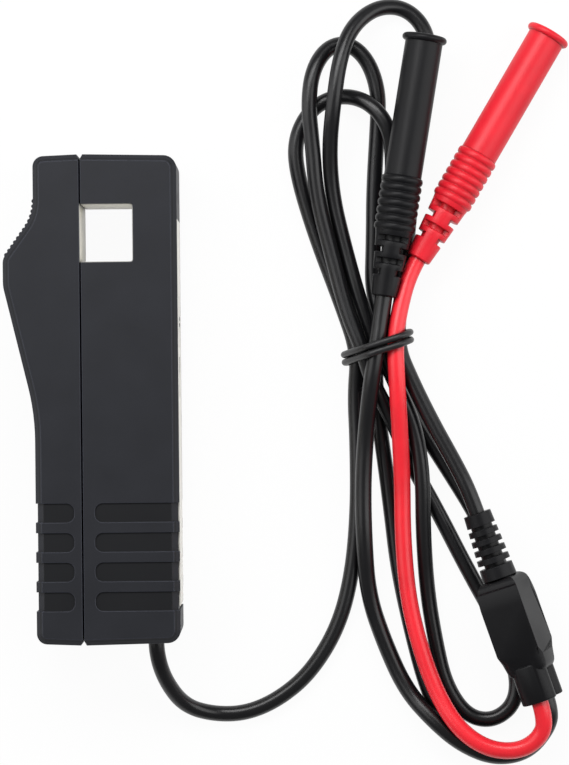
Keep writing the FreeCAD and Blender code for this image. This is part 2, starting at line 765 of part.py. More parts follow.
def rail_foot():
    return solid_between(
        Vector(JAW_X - RAIL_FOOT, RAIL_END_Y, MID - RAIL_FOOT_HEIGHT / 2),
        Vector(JAW_X, RAIL_TOP_Y, MID + RAIL_FOOT_HEIGHT / 2),
    )


def guide_rail():
    """T-shaped rail: its foot is held by the jaw's halves and its head runs in the body's slot."""
    neck = solid_between(
        Vector(JAW_X, RAIL_END_Y, MID - RAIL_NECK / 2),
        Vector(SLOT_HEAD_X + RUN_CLEARANCE, RAIL_TOP_Y, MID + RAIL_NECK / 2),
    )
    head_x = SLOT_HEAD_X + RUN_CLEARANCE
    head = solid_between(
        Vector(head_x, RAIL_END_Y, MID - RAIL_HEAD / 2),
        Vector(head_x + RAIL_HEAD_THICKNESS, RAIL_TOP_Y, MID + RAIL_HEAD / 2),
    )
    return rail_foot().fuse([neck, head]).removeSplitter()


def core_pieces():
    """The body's core in two L-shaped pieces, with room for the sensor between them."""
    whole = prism(core_corners(0), CORE_Z, CORE_Z + CORE_DEPTH)
    half_gap = SENSOR_THICKNESS / 2 + FIT
    above = solid_between(Vector(-FAR, CORE_MID_Y + half_gap, -FAR), Vector(FAR, FAR, FAR))
    below = solid_between(Vector(-FAR, -FAR, -FAR), Vector(FAR, CORE_MID_Y - half_gap, FAR))
    return whole.common(above), whole.common(below)


def hall_sensor():
    """Sensor in the core's gap, with its three legs to the board."""
    low_y = CORE_MID_Y - SENSOR_THICKNESS / 2
    body = solid_between(
        Vector(CORE_LEG_X, low_y, MID - SENSOR_WIDTH / 2),
        Vector(CORE_LEG_X + CORE_THICKNESS, low_y + SENSOR_THICKNESS, MID + SENSOR_WIDTH / 2),
    )
    legs = []
    for place in (-1, 0, 1):
        z = MID + place * 2 * SENSOR_LEG - SENSOR_LEG / 2
        corner = Vector(CORE_LEG_X + CORE_THICKNESS, CORE_MID_Y - SENSOR_LEG / 2, z)
        legs.append(Part.makeBox(BOARD_GAP, SENSOR_LEG, SENSOR_LEG, corner))
    return body.fuse(legs).removeSplitter()


def main_board():
    board = solid_between(
        Vector(BOARD_X, TOP - BOARD_DROP - BOARD_LENGTH, MID - BOARD_HEIGHT / 2),
        Vector(BOARD_FACE_X, TOP - BOARD_DROP, MID + BOARD_HEIGHT / 2),
    )
    wheel_y = TOP - WHEEL_DROP
    half = WHEEL_THICKNESS / 2 + 2 * RUN_CLEARANCE
    reach = WHEEL_RADIUS + 2 * RUN_CLEARANCE
    opening = solid_between(
        Vector(BOARD_X - 1, wheel_y - reach, MID - half),
        Vector(BOARD_FACE_X + 1, wheel_y + reach, MID + half),
    )
    return board.cut(opening)


def zero_wheel():
    centre = Vector(WHEEL_X, TOP - WHEEL_DROP, MID - WHEEL_THICKNESS / 2)
    wheel = Part.makeCylinder(WHEEL_RADIUS, WHEEL_THICKNESS, centre)
    cuts = [Part.makeCylinder(WHEEL_SHAFT_RADIUS + SHAFT_CLEARANCE, WHEEL_THICKNESS, centre)]
    for index in range(WHEEL_NOTCHES):
        angle = 2 * math.pi * index / WHEEL_NOTCHES
        rim = centre + Vector(math.cos(angle), math.sin(angle), 0) * WHEEL_RADIUS
        cuts.append(Part.makeCylinder(WHEEL_NOTCH_RADIUS, WHEEL_THICKNESS, rim))
    return wheel.cut(cuts)


def zero_pot():
    """Potentiometer on the back of the board, with the shaft that the wheel turns on."""
    top = MID - WHEEL_THICKNESS / 2 - RUN_CLEARANCE
    y = TOP - WHEEL_DROP
    case = solid_between(
        Vector(BOARD_X - POT_WIDTH, y - POT_LENGTH / 2, top - POT_HEIGHT),
        Vector(BOARD_X, y + POT_LENGTH / 2, top),
    )
    shaft_length = WHEEL_THICKNESS + 2 * RUN_CLEARANCE
    shaft = Part.makeCylinder(WHEEL_SHAFT_RADIUS, shaft_length, Vector(WHEEL_X, y, top))
    return case.fuse(shaft).removeSplitter()


def range_switch():
    """The switch case on the board and the knob whose tongue slides in it."""
    top = TOP - SWITCH_DROP + KNOB_LENGTH / 2 + RUN_CLEARANCE
    end = top - SWITCH_TRAVEL - KNOB_LENGTH - 2 * RUN_CLEARANCE
    case = solid_between(
        Vector(BOARD_FACE_X, end - SWITCH_CASE_END, MID - SWITCH_CASE_WIDTH / 2),
        Vector(INNER_X - FIT, top + SWITCH_CASE_END, MID + SWITCH_CASE_WIDTH / 2),
    )
    groove_half = KNOB_TONGUE_WIDTH / 2 + RUN_CLEARANCE
    groove_x = INNER_X - FIT - KNOB_TONGUE_DEPTH
    groove = solid_between(
        Vector(groove_x, end, MID - groove_half), Vector(INNER_X, top, MID + groove_half)
    )
    knob_top = TOP - SWITCH_DROP + KNOB_LENGTH / 2
    cap = solid_between(
        Vector(INNER_X, knob_top - KNOB_LENGTH, MID - KNOB_WIDTH / 2),
        Vector(OUTER_X - KNOB_SUNK, knob_top, MID + KNOB_WIDTH / 2),
    )
    tongue = solid_between(
        Vector(groove_x + FIT, knob_top - KNOB_LENGTH, MID - KNOB_TONGUE_WIDTH / 2),
        Vector(INNER_X, knob_top, MID + KNOB_TONGUE_WIDTH / 2),
    )
    return case.cut(groove), cap.fuse(tongue).removeSplitter()


def power_lamp():
    """Round lamp on the board, with its dome just inside the body's face."""
    start = Vector(BOARD_FACE_X, TOP - LAMP_DROP, MID)
    straight = OUTER_X - LAMP_SUNK - LAMP_RADIUS - BOARD_FACE_X
    barrel = Part.makeCylinder(LAMP_RADIUS, straight, start, Vector(1, 0, 0))
    dome = Part.makeSphere(LAMP_RADIUS, start + Vector(straight, 0, 0))
    return barrel.fuse(dome).removeSplitter()


def face_plate():
    return face_plate_box(0).cut(control_openings(OUTER_X - WALL, OUTER_X + 1))


def battery():
    z = MID - BATTERY_HEIGHT / 2
    block = Part.makeBox(
        BATTERY_WIDTH, BATTERY_LENGTH, BATTERY_HEIGHT, Vector(BATTERY_X, BATTERY_END_Y, z)
    )
    return block.fuse(terminals(0)).removeSplitter()


def terminals(grow):
    pieces = []
    for side in (-1, 1):
        centre = Vector(
            BATTERY_X + BATTERY_WIDTH / 2, BATTERY_TOP_Y, MID + side * TERMINAL_SPACING / 2
        )
        pieces.append(
            Part.makeCylinder(TERMINAL_RADIUS + grow, TERMINAL_HEIGHT + grow, centre, Vector(0, 1, 0))
        )
    return pieces


def battery_snap():
    x = BATTERY_X + (BATTERY_WIDTH - SNAP_WIDTH) / 2
    corner = Vector(x, BATTERY_TOP_Y + FIT, MID - SNAP_LENGTH / 2)
    plate = Part.makeBox(SNAP_WIDTH, SNAP_THICKNESS, SNAP_LENGTH, corner)
    return plate.cut(terminals(FIT))


def rounded_route(points, largest=math.inf):
    """Straight runs joined by the largest tangent arcs that they have room for, and the arcs' radii."""
    places = [Vector(*point) for point in points]
    edges = []
    radii = []
    last = places[0]
    for before, here, after in zip(places, places[1:], places[2:]):
        back = before - here
        ahead = after - here
        room = ARC_SHARE * min(back.Length, ahead.Length)
        back.normalize()
        ahead.normalize()
        half = back.getAngle(ahead) / 2
        radius = min(room * math.tan(half), largest)
        reach = radius / math.tan(half)
        radii.append(radius)
        start = here + back * reach
        end = here + ahead * reach
        middle = here + (back + ahead).normalize() * (radius / math.sin(half) - radius)
        edges.append(Part.LineSegment(last, start).toShape())
        edges.append(Part.Arc(start, middle, end).toShape())
        last = end
    edges.append(Part.LineSegment(last, places[-1]).toShape())
    return Part.Wire(edges), radii


def tube(name, points, diameter, largest=math.inf):
    """A round cord along the route, with its length, least radius and volume printed."""
    path, radii = rounded_route(points, largest)
    way = Vector(*points[1]) - Vector(*points[0])
    section = Part.Wire(Part.makeCircle(diameter / 2, Vector(*points[0]), way))
    shape = path.makePipeShell([section], True, False)
    expected = math.pi * diameter**2 / 4 * path.Length
    print(
        f"{name}: length {path.Length:.1f}, least radius {min(radii):.1f},"
        f" volume {shape.Volume:.1f} for {expected:.1f}, valid {shape.isValid()}"
    )
    return shape


def show_self_gap(name, points, diameter):
    """Prints the least room between two stretches of one cord, measured on points along it."""
    path, _ = rounded_route(points)
    count = int(path.Length)
    places = path.discretize(count)
    apart = int(SELF_GAP_SKIP * diameter)
    least = path.Length
    where = places[0]
    for index, place in enumerate(places):
        for other in places[index + apart :]:
            distance = place.distanceToPoint(other)
            if distance < least:
                least = distance
                where = (place + other) * 0.5
    print(f"{name}: least gap to itself {least - diameter:.2f} at {where.x:.1f}, {where.y:.1f}, {where.z:.1f}")


def return_spring():
    """Compression spring in the guide slot, between the rail's end and the slot's end."""
    points = []
    centre = Vector(SEAM_X + SPRING_RADIUS + SPRING_WIRE, 0, MID)
    start = RAIL_END_Y - SPRING_END_GAP - SPRING_WIRE / 2
    length = SPRING_LENGTH - 2 * SPRING_END_GAP - SPRING_WIRE
    steps = SPRING_TURNS * SPRING_POINTS
    for step in range(steps + 1):
        angle = 2 * math.pi * step / SPRING_POINTS
        x = centre.x + SPRING_RADIUS * math.cos(angle)
        z = centre.z + SPRING_RADIUS * math.sin(angle)
        points.append((x, start - length * step / steps, z))
    return tube("return_spring", points, SPRING_WIRE)


def tie_offset():
    """How far the tie's middle line keeps from a strand's."""
    return max(CABLE_DIAMETER, LEAD_DIAMETER) / 2 + TIE_GAP + TIE_DIAMETER / 2


def strands_at_waist(routes):
    """Points on the strands inside the tie: place across the waist, height and radius."""
    found = []
    reach = TIE_TURNS * TIE_PITCH / 2 + TIE_DIAMETER
    for points, diameter in routes:
        path, _ = rounded_route(points)
        for place in path.discretize(int(2 * path.Length)):
            off = place - WAIST
            if abs(off.dot(WAIST_ALONG)) < reach:
                found.append((off.dot(WAIST_ACROSS), place.z, diameter / 2))
    return found


def tie_route(routes):
    """Turns of the tie round the waist: each corner is where two lines that touch the bundle cross."""
    strands = strands_at_waist(routes)
    step = 2 * math.pi / TIE_POINTS
    points = []
    count = TIE_POINTS * TIE_TURNS + 1
    for index in range(count):
        first = step * index
        second = step * (index + 1)
        reach = []
        for angle in (first, second):
            touch = max(a * math.cos(angle) + z * math.sin(angle) + r for a, z, r in strands)
            reach.append(touch + TIE_GAP + TIE_DIAMETER / 2)
        crossing = math.sin(second - first)
        across = (reach[0] * math.sin(second) - reach[1] * math.sin(first)) / crossing
        height = (reach[1] * math.cos(first) - reach[0] * math.cos(second)) / crossing
        along = TIE_PITCH * (index / TIE_POINTS - TIE_TURNS / 2)
        place = WAIST + WAIST_ACROSS * across + WAIST_ALONG * along
        points.append((place.x, place.y, height))
    return points


def along(start, way):
    """Places a shape that was made upright so that it starts at a point and runs one way."""
    return Placement(start, Rotation(Vector(0, 0, 1), way))


def revolved(profile):
    """A solid of revolution about Z from points of (radius, height)."""
    points = [Vector(radius, 0, height) for radius, height in profile]
    face = Part.Face(Part.makePolygon(points + points[:1]))
    return face.revolve(Vector(0, 0, 0), Vector(0, 0, 1), 360)


def splitter_axes():
    """The splitter's narrow way, wide way and length."""
    way = Vector(SPLITTER_WAY).normalize()
    side = Vector(-way.y, way.x, 0)
    roll = math.radians(SPLITTER_ROLL)
    wide = side * -math.cos(roll) + Vector(0, 0, 1) * math.sin(roll)
    return wide.cross(way), wide, way


def splitter_box():
    """Moulded block with rounded edges and the two lead outlets."""
    half_narrow = SPLITTER_NARROW / 2
    half_wide = SPLITTER_WIDTH / 2
    block = Part.makeBox(
        SPLITTER_NARROW, SPLITTER_WIDTH, SPLITTER_LENGTH, Vector(-half_narrow, -half_wide, BOOT_LENGTH)
    )
    block = block.makeFillet(SPLITTER_ROUND, block.Edges)
    outlets = []
    for side in (-1, 1):
        start = Vector(0, side * OUTLET_SPACING / 2, BOOT_LENGTH + SPLITTER_LENGTH - SPLITTER_ROUND)
        outlets.append(Part.makeCylinder(OUTLET_RADIUS, OUTLET_LENGTH + SPLITTER_ROUND, start))
    shape = block.fuse(outlets).removeSplitter()
    narrow, wide, way = splitter_axes()
    shape.Placement = Placement(SPLITTER_END, Rotation(narrow, wide, way, "ZYX"))
    return shape


def boot_radius(height):
    """The splitter boot's taper, from the end that the cable enters."""
    return BOOT_TIP_RADIUS + (BOOT_RADIUS - BOOT_TIP_RADIUS) * height / BOOT_LENGTH


def splitter_boot():
    """Ringed strain relief between the cable and the splitter: a collar, rings and a second collar."""
    ring = (BOOT_LENGTH - 2 * BOOT_COLLAR - (BOOT_RINGS + 1) * BOOT_GAP) / BOOT_RINGS
    lengths = [BOOT_COLLAR] + [ring] * BOOT_RINGS + [BOOT_COLLAR]
    profile = [(0, 0)]
    low = 0
    for length in lengths:
        high = low + length
        if low:
            profile += [(BOOT_CORE_RADIUS, low - BOOT_GAP), (BOOT_CORE_RADIUS, low)]
        profile += [(boot_radius(low), low), (boot_radius(high), high)]
        low = high + BOOT_GAP
    profile.append((0, BOOT_LENGTH))
    shape = revolved(profile)
    shape.Placement = along(SPLITTER_END, SPLITTER_WAY)
    return shape


def outlet(side):
    """Where a lead leaves the splitter. The red lead is on the upper side."""
    _, wide, way = splitter_axes()
    reach = BOOT_LENGTH + SPLITTER_LENGTH + OUTLET_LENGTH
    return SPLITTER_END + way * reach + wide * (side * OUTLET_SPACING / 2)


def plug_grip():
    """Slotted boot, ribbed grip and the spigot that holds the sleeve and the pin."""
    grip_end = PLUG_BOOT_LENGTH + PLUG_GRIP_LENGTH
    profile = [(0, 0), (PLUG_BOOT_TIP_RADIUS, 0), (PLUG_BOOT_RADIUS, PLUG_BOOT_LENGTH)]
    rib_pitch = PLUG_GRIP_LENGTH / PLUG_RIB_COUNT
    for index in range(PLUG_RIB_COUNT):
        low = PLUG_BOOT_LENGTH + index * rib_pitch
        profile.append((PLUG_GRIP_RADIUS, low))
        profile.append((PLUG_RIB_RADIUS, low + rib_pitch * PLUG_RIB_RAMP))
        profile.append((PLUG_RIB_RADIUS, low + rib_pitch * (1 - PLUG_RIB_RAMP)))
    profile += [(PLUG_GRIP_RADIUS, grip_end), (SHROUD_BORE_RADIUS, grip_end)]
    spigot_end = grip_end + SPIGOT_LENGTH
    foot = spigot_end - PIN_FOOT_LENGTH
    profile += [(SHROUD_BORE_RADIUS, spigot_end), (PIN_FOOT_RADIUS, spigot_end)]
    profile += [(PIN_FOOT_RADIUS, foot), (0, foot)]
    shape = revolved(profile)
    pitch = (PLUG_BOOT_LENGTH - PLUG_COLLAR) / PLUG_SLOT_COUNT
    for index in range(PLUG_SLOT_COUNT):
        low = PLUG_COLLAR + pitch * index
        gap = Part.makeCylinder(PLUG_RIB_RADIUS, PLUG_SLOT, Vector(0, 0, low))
        gap = gap.cut(Part.makeCylinder(PLUG_CORE_RADIUS, PLUG_SLOT, Vector(0, 0, low)))
        web = Part.makeBox(
            4 * PLUG_RIB_RADIUS, PLUG_WEB, PLUG_SLOT, Vector(-2 * PLUG_RIB_RADIUS, -PLUG_WEB / 2, low)
        )
        web.rotate(Vector(0, 0, 0), Vector(0, 0, 1), 90 * ((index + 1) % 2))
        shape = shape.cut(gap.cut(web))
    return shape


def plug_shroud():
    """Plain guard sleeve with a rolled rim at its mouth."""
    start = PLUG_BOOT_LENGTH + PLUG_GRIP_LENGTH
    sleeve = Part.makeCylinder(SHROUD_RADIUS, SHROUD_LENGTH, Vector(0, 0, start))
    rim = Part.makeTorus(SHROUD_RADIUS, RIM_RADIUS, Vector(0, 0, start + SHROUD_LENGTH - RIM_RADIUS))
    bore = Part.makeCylinder(SHROUD_BORE_RADIUS, SHROUD_LENGTH, Vector(0, 0, start))
    return sleeve.fuse(rim).cut(bore).removeSplitter()


def plug_pin():
    """Four millimetre pin that stands in the sleeve, its tip below the mouth."""
    shoulder = PLUG_BOOT_LENGTH + PLUG_GRIP_LENGTH + SPIGOT_LENGTH
    foot = shoulder - PIN_FOOT_LENGTH
    tip = PLUG_BOOT_LENGTH + PLUG_GRIP_LENGTH + SHROUD_LENGTH - PIN_RECESS
    profile = [
        (0, foot),
        (PIN_FOOT_RADIUS, foot),
        (PIN_FOOT_RADIUS, shoulder),
        (PIN_RADIUS, shoulder),
        (PIN_RADIUS, tip - PIN_TIP),
        (PIN_RADIUS - PIN_TIP, tip),
        (0, tip),
    ]
    return revolved(profile)


def plug(colour, end, mouth):
    """One plug's three pieces, placed so that its boot starts at the lead's end."""
    place = along(end, mouth - end)
    pieces = {
        f"{colour}_plug_grip": plug_grip(),
        f"{colour}_plug_shroud": plug_shroud(),
        f"{colour}_plug_pin": plug_pin(),
    }
    for shape in pieces.values():
        shape.Placement = place
    return pieces


def lead_routes():
    """Both leads, from the splitter's outlets to the plugs' boots."""
    way = Vector(SPLITTER_WAY).normalize()
    red_start = outlet(1)
    black_start = outlet(-1)
    red_out = red_start + way * FIRST_RUN
    black_out = black_start + way * FIRST_RUN
    red_in = RED_PLUG_END + (RED_PLUG_END - RED_PLUG_MOUTH).normalize() * FIRST_RUN
    black_in = BLACK_PLUG_END + (BLACK_PLUG_END - BLACK_PLUG_MOUTH).normalize() * FIRST_RUN
    red = [
        tuple(red_start),
        tuple(red_out),
        (117.0, -89.6, 13.0),
        (111.5, -93.4, 10.4),
        (103.0, -92.8, 8.4),
        (94.2, -88.3, 7.2),
        (87.2, -77.7, 7.0),
        (83.6, -64.9, 7.0),
        (81.6, -51.6, 7.0),
        (81.2, -36.9, 7.0),
        (81.3, -22.2, 7.6),
        (80.8, -8.9, 10.8),
        (80.1, 3.1, 13.2),
        STRAND_RED,
        (82.5, 21.5, 12.0),
        tuple(red_in),
        tuple(RED_PLUG_END),
    ]
    black = [
        tuple(black_start),
        tuple(black_out),
        (120.6, -91.6, 7.4),
        (112.8, -98.0, 4.0),
        (100.0, -98.3, 2.3),
        (87.0, -91.5, 2.3),
        (79.9, -79.1, 2.3),
        (74.9, -66.5, 2.3),
        (72.1, -53.0, 3.6),
        (71.1, -38.2, 6.9),
        (70.9, -23.5, 7.0),
        (71.8, -9.4, 8.6),
        (73.2, 3.1, 13.2),
        STRAND_BLACK,
        tuple(black_in),
        tuple(BLACK_PLUG_END),
    ]
    return red, black


def cords():
    """Tail, hank, leads and tie."""
    last = Vector(*TAIL_ROUTE[-1])
    first = Vector(*HANK_ROUTE[0])
    meet = tuple((last + first) * 0.5)
    red, black = lead_routes()
    hank = [meet] + HANK_ROUTE
    show_self_gap("cable_hank", hank, CABLE_DIAMETER)
    tie = tie_route([(hank, CABLE_DIAMETER), (red, LEAD_DIAMETER), (black, LEAD_DIAMETER)])
    return {
        "cable_tail": tube("cable_tail", TAIL_ROUTE + [meet], CABLE_DIAMETER),
        "cable_hank": tube("cable_hank", hank, CABLE_DIAMETER),
        "red_lead": tube("red_lead", red, LEAD_DIAMETER),
        "black_lead": tube("black_lead", black, LEAD_DIAMETER),
        "hank_tie": tube("hank_tie", tie, TIE_DIAMETER, tie_offset()),
    }


def build():
    """Every piece by name."""
    parts = {}
    parts["body_shell_upper"], parts["body_shell_lower"] = body_shells()
    parts["jaw_shell_upper"], parts["jaw_shell_lower"] = jaw_shells()
    parts["core_upper"], parts["core_lower"] = core_pieces()
    parts["jaw_core"] = prism(jaw_core_corners(0), CORE_Z, CORE_Z + CORE_DEPTH)
    parts["hall_sensor"] = hall_sensor()
    parts["main_board"] = main_board()
    parts["power_lamp"] = power_lamp()
    parts["zero_wheel"] = zero_wheel()
    parts["zero_pot"] = zero_pot()
    parts["range_switch_case"], parts["range_switch_knob"] = range_switch()
    parts["face_plate"] = face_plate()
    parts["battery"] = battery()
    parts["battery_snap"] = battery_snap()
    parts["battery_cover"] = battery_cover()
    x, y = cover_screw_place()
    parts["cover_screw"] = screw(
        x, y, COVER_SCREW_HEAD_DEPTH, COVER_SCREW_HEAD_HEIGHT, COVER_SCREW_LENGTH
    )
    body_screws = []
    for x, y in body_screw_places():
        body_screws.append(screw(x, y, SCREW_HEAD_DEPTH, SCREW_HEAD_HEIGHT, SCREW_LENGTH))
    parts["body_screws"] = Part.makeCompound(body_screws)
    jaw_screws = []
    for x, y in jaw_screw_places():
        jaw_screws.append(screw(x, y, SCREW_HEAD_DEPTH, SCREW_HEAD_HEIGHT, SCREW_LENGTH))
    parts["jaw_screws"] = Part.makeCompound(jaw_screws)
    parts["guide_rail"] = guide_rail()
    parts["return_spring"] = return_spring()
    parts["cable_grommet"] = grommet_shape(0)
    parts["splitter_box"] = splitter_box()
    parts["splitter_boot"] = splitter_boot()
    parts.update(plug("red", RED_PLUG_END, RED_PLUG_MOUTH))
    parts.update(plug("black", BLACK_PLUG_END, BLACK_PLUG_MOUTH))
    parts.update(cords())
    return parts


os.makedirs("parts", exist_ok=True)
for node, shape in build().items():
    shape.exportStep(f"parts/{node}.step")
    print(f"{node}: {len(shape.Solids)} solid, valid {shape.isValid()}, volume {shape.Volume:.1f}")
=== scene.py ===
# %% [markdown]
# # A clip-on current probe and its tied leads
#
# The probe is a flat plastic grip in two halves. The right half holds a magnetic core round a square
# window, and the left half slides down to open that window. A cable leaves the lower end, is folded into a
# hank, and ends in a splitter with a red and a black lead. The hard pieces come from the CAD model. This
# script adds the camera, the flexible pieces, the plugs' soft mouldings and the finishes.
#
# Sizes of the pieces are in millimetres, and MM turns them into Blender's metres. The room is in metres.

# %% Load the CAD model
import json
import math

import bpy
from mathutils import Matrix, Vector


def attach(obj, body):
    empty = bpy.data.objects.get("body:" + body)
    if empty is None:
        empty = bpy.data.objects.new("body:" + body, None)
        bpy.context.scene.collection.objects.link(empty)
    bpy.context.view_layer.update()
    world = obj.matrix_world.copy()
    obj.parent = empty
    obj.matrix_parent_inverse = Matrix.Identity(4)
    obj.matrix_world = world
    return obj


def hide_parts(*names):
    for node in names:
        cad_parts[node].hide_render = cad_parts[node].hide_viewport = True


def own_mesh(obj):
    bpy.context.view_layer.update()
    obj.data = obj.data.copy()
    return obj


MM = 0.001

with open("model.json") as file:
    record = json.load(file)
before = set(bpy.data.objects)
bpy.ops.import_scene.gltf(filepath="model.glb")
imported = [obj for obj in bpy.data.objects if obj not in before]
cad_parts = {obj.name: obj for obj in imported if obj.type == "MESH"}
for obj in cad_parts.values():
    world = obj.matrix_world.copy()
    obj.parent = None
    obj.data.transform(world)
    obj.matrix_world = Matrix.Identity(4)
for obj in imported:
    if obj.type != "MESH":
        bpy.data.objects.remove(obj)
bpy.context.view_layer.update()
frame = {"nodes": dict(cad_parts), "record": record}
nodes = frame["nodes"]
bpy.ops.object.select_all(action="DESELECT")
print("CAD nodes:", len(nodes))

# %% [markdown]
# ## Camera
#
# The photograph looks straight down from about a metre, so there is hardly any perspective. A long lens does
# the same here. The grip leans a little to the left in the picture, so the camera is rolled by that much.

# %% Camera above the table
CAMERA_PLACE = (50.29 * MM, 4.03 * MM, 1032 * MM)
CAMERA_ROLL = math.radians(-0.56)
CAMERA_FIELD = math.radians(11.36)

bpy.ops.object.camera_add(location=CAMERA_PLACE, rotation=(0, 0, CAMERA_ROLL))
camera = bpy.context.object
camera.name = "camera"
camera.data.sensor_fit = "VERTICAL"
camera.data.angle = CAMERA_FIELD
bpy.context.scene.camera = camera
print("camera height:", camera.location.z)

# %% [markdown]
# ## Floor
#
# The paper under a product picture is white, and it still takes a faint shadow. A plain white surface would
# need so much lamp light that the object would wash out. So the paper is a matt surface mixed with its own
# light, and only the camera and mirror reflections see that own light.

# %% Pale floor
FLOOR_SIZE = 4.0
FLOOR_DROP = 0.0002
FLOOR_COLOUR = (0.9, 0.9, 0.9, 1)
FLOOR_ROUGHNESS = 0.9
FLOOR_WHITE = 1.0
FLOOR_OWN_LIGHT = 0.95

bpy.ops.mesh.primitive_plane_add(size=FLOOR_SIZE, location=(0, 0, -FLOOR_DROP))
floor = bpy.context.object
floor.name = "floor"
paper = bpy.data.materials.new("white_paper")
paper.use_nodes = True
paper_nodes = paper.node_tree.nodes
paper_links = paper.node_tree.links
paper_shader = paper_nodes["Principled BSDF"]
paper_shader.inputs["Base Color"].default_value = FLOOR_COLOUR
paper_shader.inputs["Roughness"].default_value = FLOOR_ROUGHNESS
paper_glow = paper_nodes.new("ShaderNodeEmission")
paper_glow.inputs["Strength"].default_value = FLOOR_WHITE
paper_path = paper_nodes.new("ShaderNodeLightPath")
paper_seen = paper_nodes.new("ShaderNodeMath")
paper_seen.operation = "MAXIMUM"
paper_share = paper_nodes.new("ShaderNodeMath")
paper_share.operation = "MULTIPLY"
paper_share.inputs[1].default_value = FLOOR_OWN_LIGHT
paper_mix = paper_nodes.new("ShaderNodeMixShader")
paper_links.new(paper_path.outputs["Is Camera Ray"], paper_seen.inputs[0])
paper_links.new(paper_path.outputs["Is Glossy Ray"], paper_seen.inputs[1])
paper_links.new(paper_seen.outputs[0], paper_share.inputs[0])
paper_links.new(paper_share.outputs[0], paper_mix.inputs["Fac"])
paper_links.new(paper_shader.outputs["BSDF"], paper_mix.inputs[1])
paper_links.new(paper_glow.outputs["Emission"], paper_mix.inputs[2])
paper_links.new(paper_mix.outputs["Shader"], paper_nodes["Material Output"].inputs["Surface"])
floor.data.materials.append(paper)
print("floor width:", FLOOR_SIZE)

# %% [markdown]
# ## Light
#
# Product pictures like this one are lit by large soft boxes. Two wide lamps stand at the left and right,
# which draws the two long highlights on every cable, and a third at the far end makes the jaw end of the grip
# lighter than the cable end. The room itself gives a little light and looks white to the camera.

# %% Light of the room
WORLD_LIGHT = 0.22
WORLD_SEEN = 1.0

world = bpy.data.worlds.new("studio")
bpy.context.scene.world = world
world.use_nodes = True
world_nodes = world.node_tree.nodes
world_links = world.node_tree.links
world_nodes["Background"].inputs["Color"].default_value = (1, 1, 1, 1)
world_path = world_nodes.new("ShaderNodeLightPath")
world_level = world_nodes.new("ShaderNodeMapRange")
world_level.inputs["To Min"].default_value = WORLD_LIGHT
world_level.inputs["To Max"].default_value = WORLD_SEEN
world_links.new(world_path.outputs["Is Camera Ray"], world_level.inputs["Value"])
world_links.new(world_level.outputs["Result"], world_nodes["Background"].inputs["Strength"])
bpy.context.scene.view_settings.view_transform = "Standard"
print("light of the room:", WORLD_LIGHT)

# %% Soft boxes
OBJECT_MIDDLE = (0.05, 0, 0.01)
SIDE_BOX_SIZE = (0.6, 1.2)
FAR_BOX_SIZE = (0.5, 0.22)
LEFT_BOX_PLACE = (-0.75, 0.1, 0.55)
RIGHT_BOX_PLACE = (0.85, 0.1, 0.55)
FAR_BOX_PLACE = (-0.04, 0.32, 0.46)
LEFT_BOX_POWER = 4.0
RIGHT_BOX_POWER = 5.4
FAR_BOX_POWER = 2.3


def soft_box(name, place, size, power):
    """A wide lamp that faces the middle of the object."""
    bpy.ops.object.light_add(type="AREA", location=place)
    lamp = bpy.context.object
    lamp.name = name
    lamp.data.shape = "RECTANGLE"
    lamp.data.size = size[0]
    lamp.data.size_y = size[1]
    lamp.data.energy = power
    direction = Vector(OBJECT_MIDDLE) - Vector(place)
    lamp.rotation_euler = direction.to_track_quat("-Z", "Y").to_euler()
    print(name, "power", power)


soft_box("soft_box_left", LEFT_BOX_PLACE, SIDE_BOX_SIZE, LEFT_BOX_POWER)
soft_box("soft_box_right", RIGHT_BOX_PLACE, SIDE_BOX_SIZE, RIGHT_BOX_POWER)
soft_box("soft_box_far", FAR_BOX_PLACE, FAR_BOX_SIZE, FAR_BOX_POWER)

# %% [markdown]
# ## Finishes
#
# Moulded plastic is never one flat colour. The tool that forms the grip is spark-eroded, which leaves a fine
# even grain, and handling polishes it in faint patches. One noise texture gives the grain and a slower one
# the patches. Both read Object coordinates, so that they stay put when a piece moves.

# %% Grain and patches
PATCH_TONES = (0.3, 0.7)


def scaled(colour, factor):
    """A colour times a factor, with full alpha."""
    return (*(min(channel * factor, 1) for channel in colour), 1)


def noise_on_piece(tree, scale, detail):
    """Noise that is fixed to the piece."""
    place = tree.nodes.new("ShaderNodeTexCoord")
    noise = tree.nodes.new("ShaderNodeTexNoise")
    noise.inputs["Scale"].default_value = scale
    noise.inputs["Detail"].default_value = detail
    tree.links.new(place.outputs["Object"], noise.inputs["Vector"])
    return noise.outputs["Fac"]


def patched_roughness(tree, patches, roughness, spread):
    """A roughness that swings with the patches."""
    level = tree.nodes.new("ShaderNodeMapRange")
    level.inputs["To Min"].default_value = roughness - spread
    level.inputs["To Max"].default_value = roughness + spread
    tree.links.new(patches, level.inputs["Value"])
    return level.outputs["Result"]


def patched_colour(tree, patches, colour, swing):
    """A colour that is darker and paler by turns."""
    tone = tree.nodes.new("ShaderNodeValToRGB")
    darker, paler = tone.color_ramp.elements
    darker.position, paler.position = PATCH_TONES
    darker.color = scaled(colour, 1 - swing)
    paler.color = scaled(colour, 1 + swing)
    tree.links.new(patches, tone.inputs["Fac"])
    return tone.outputs["Color"]


print("patches between tones:", PATCH_TONES)

# %% [markdown]
# Edges are painted paler, partly as wear from use and partly as a painted highlight along them. The Bevel
# node rounds the normal near an edge, so wherever it leaves the surface's own normal there is an edge to
# paint. Recesses get painted shade, darker where a surface is close to another. The Ambient Occlusion node
# finds them.

# %% Edges painted paler as wear and highlight, recesses given painted shade
WEAR_AND_HIGHLIGHT_START = 0.98
WEAR_AND_HIGHLIGHT_FULL = 0.88
WEAR_AND_HIGHLIGHT_SHARE = 0.8
PAINTED_SHADE_REACH = 1.2
PAINTED_SHADE_SAMPLES = 6


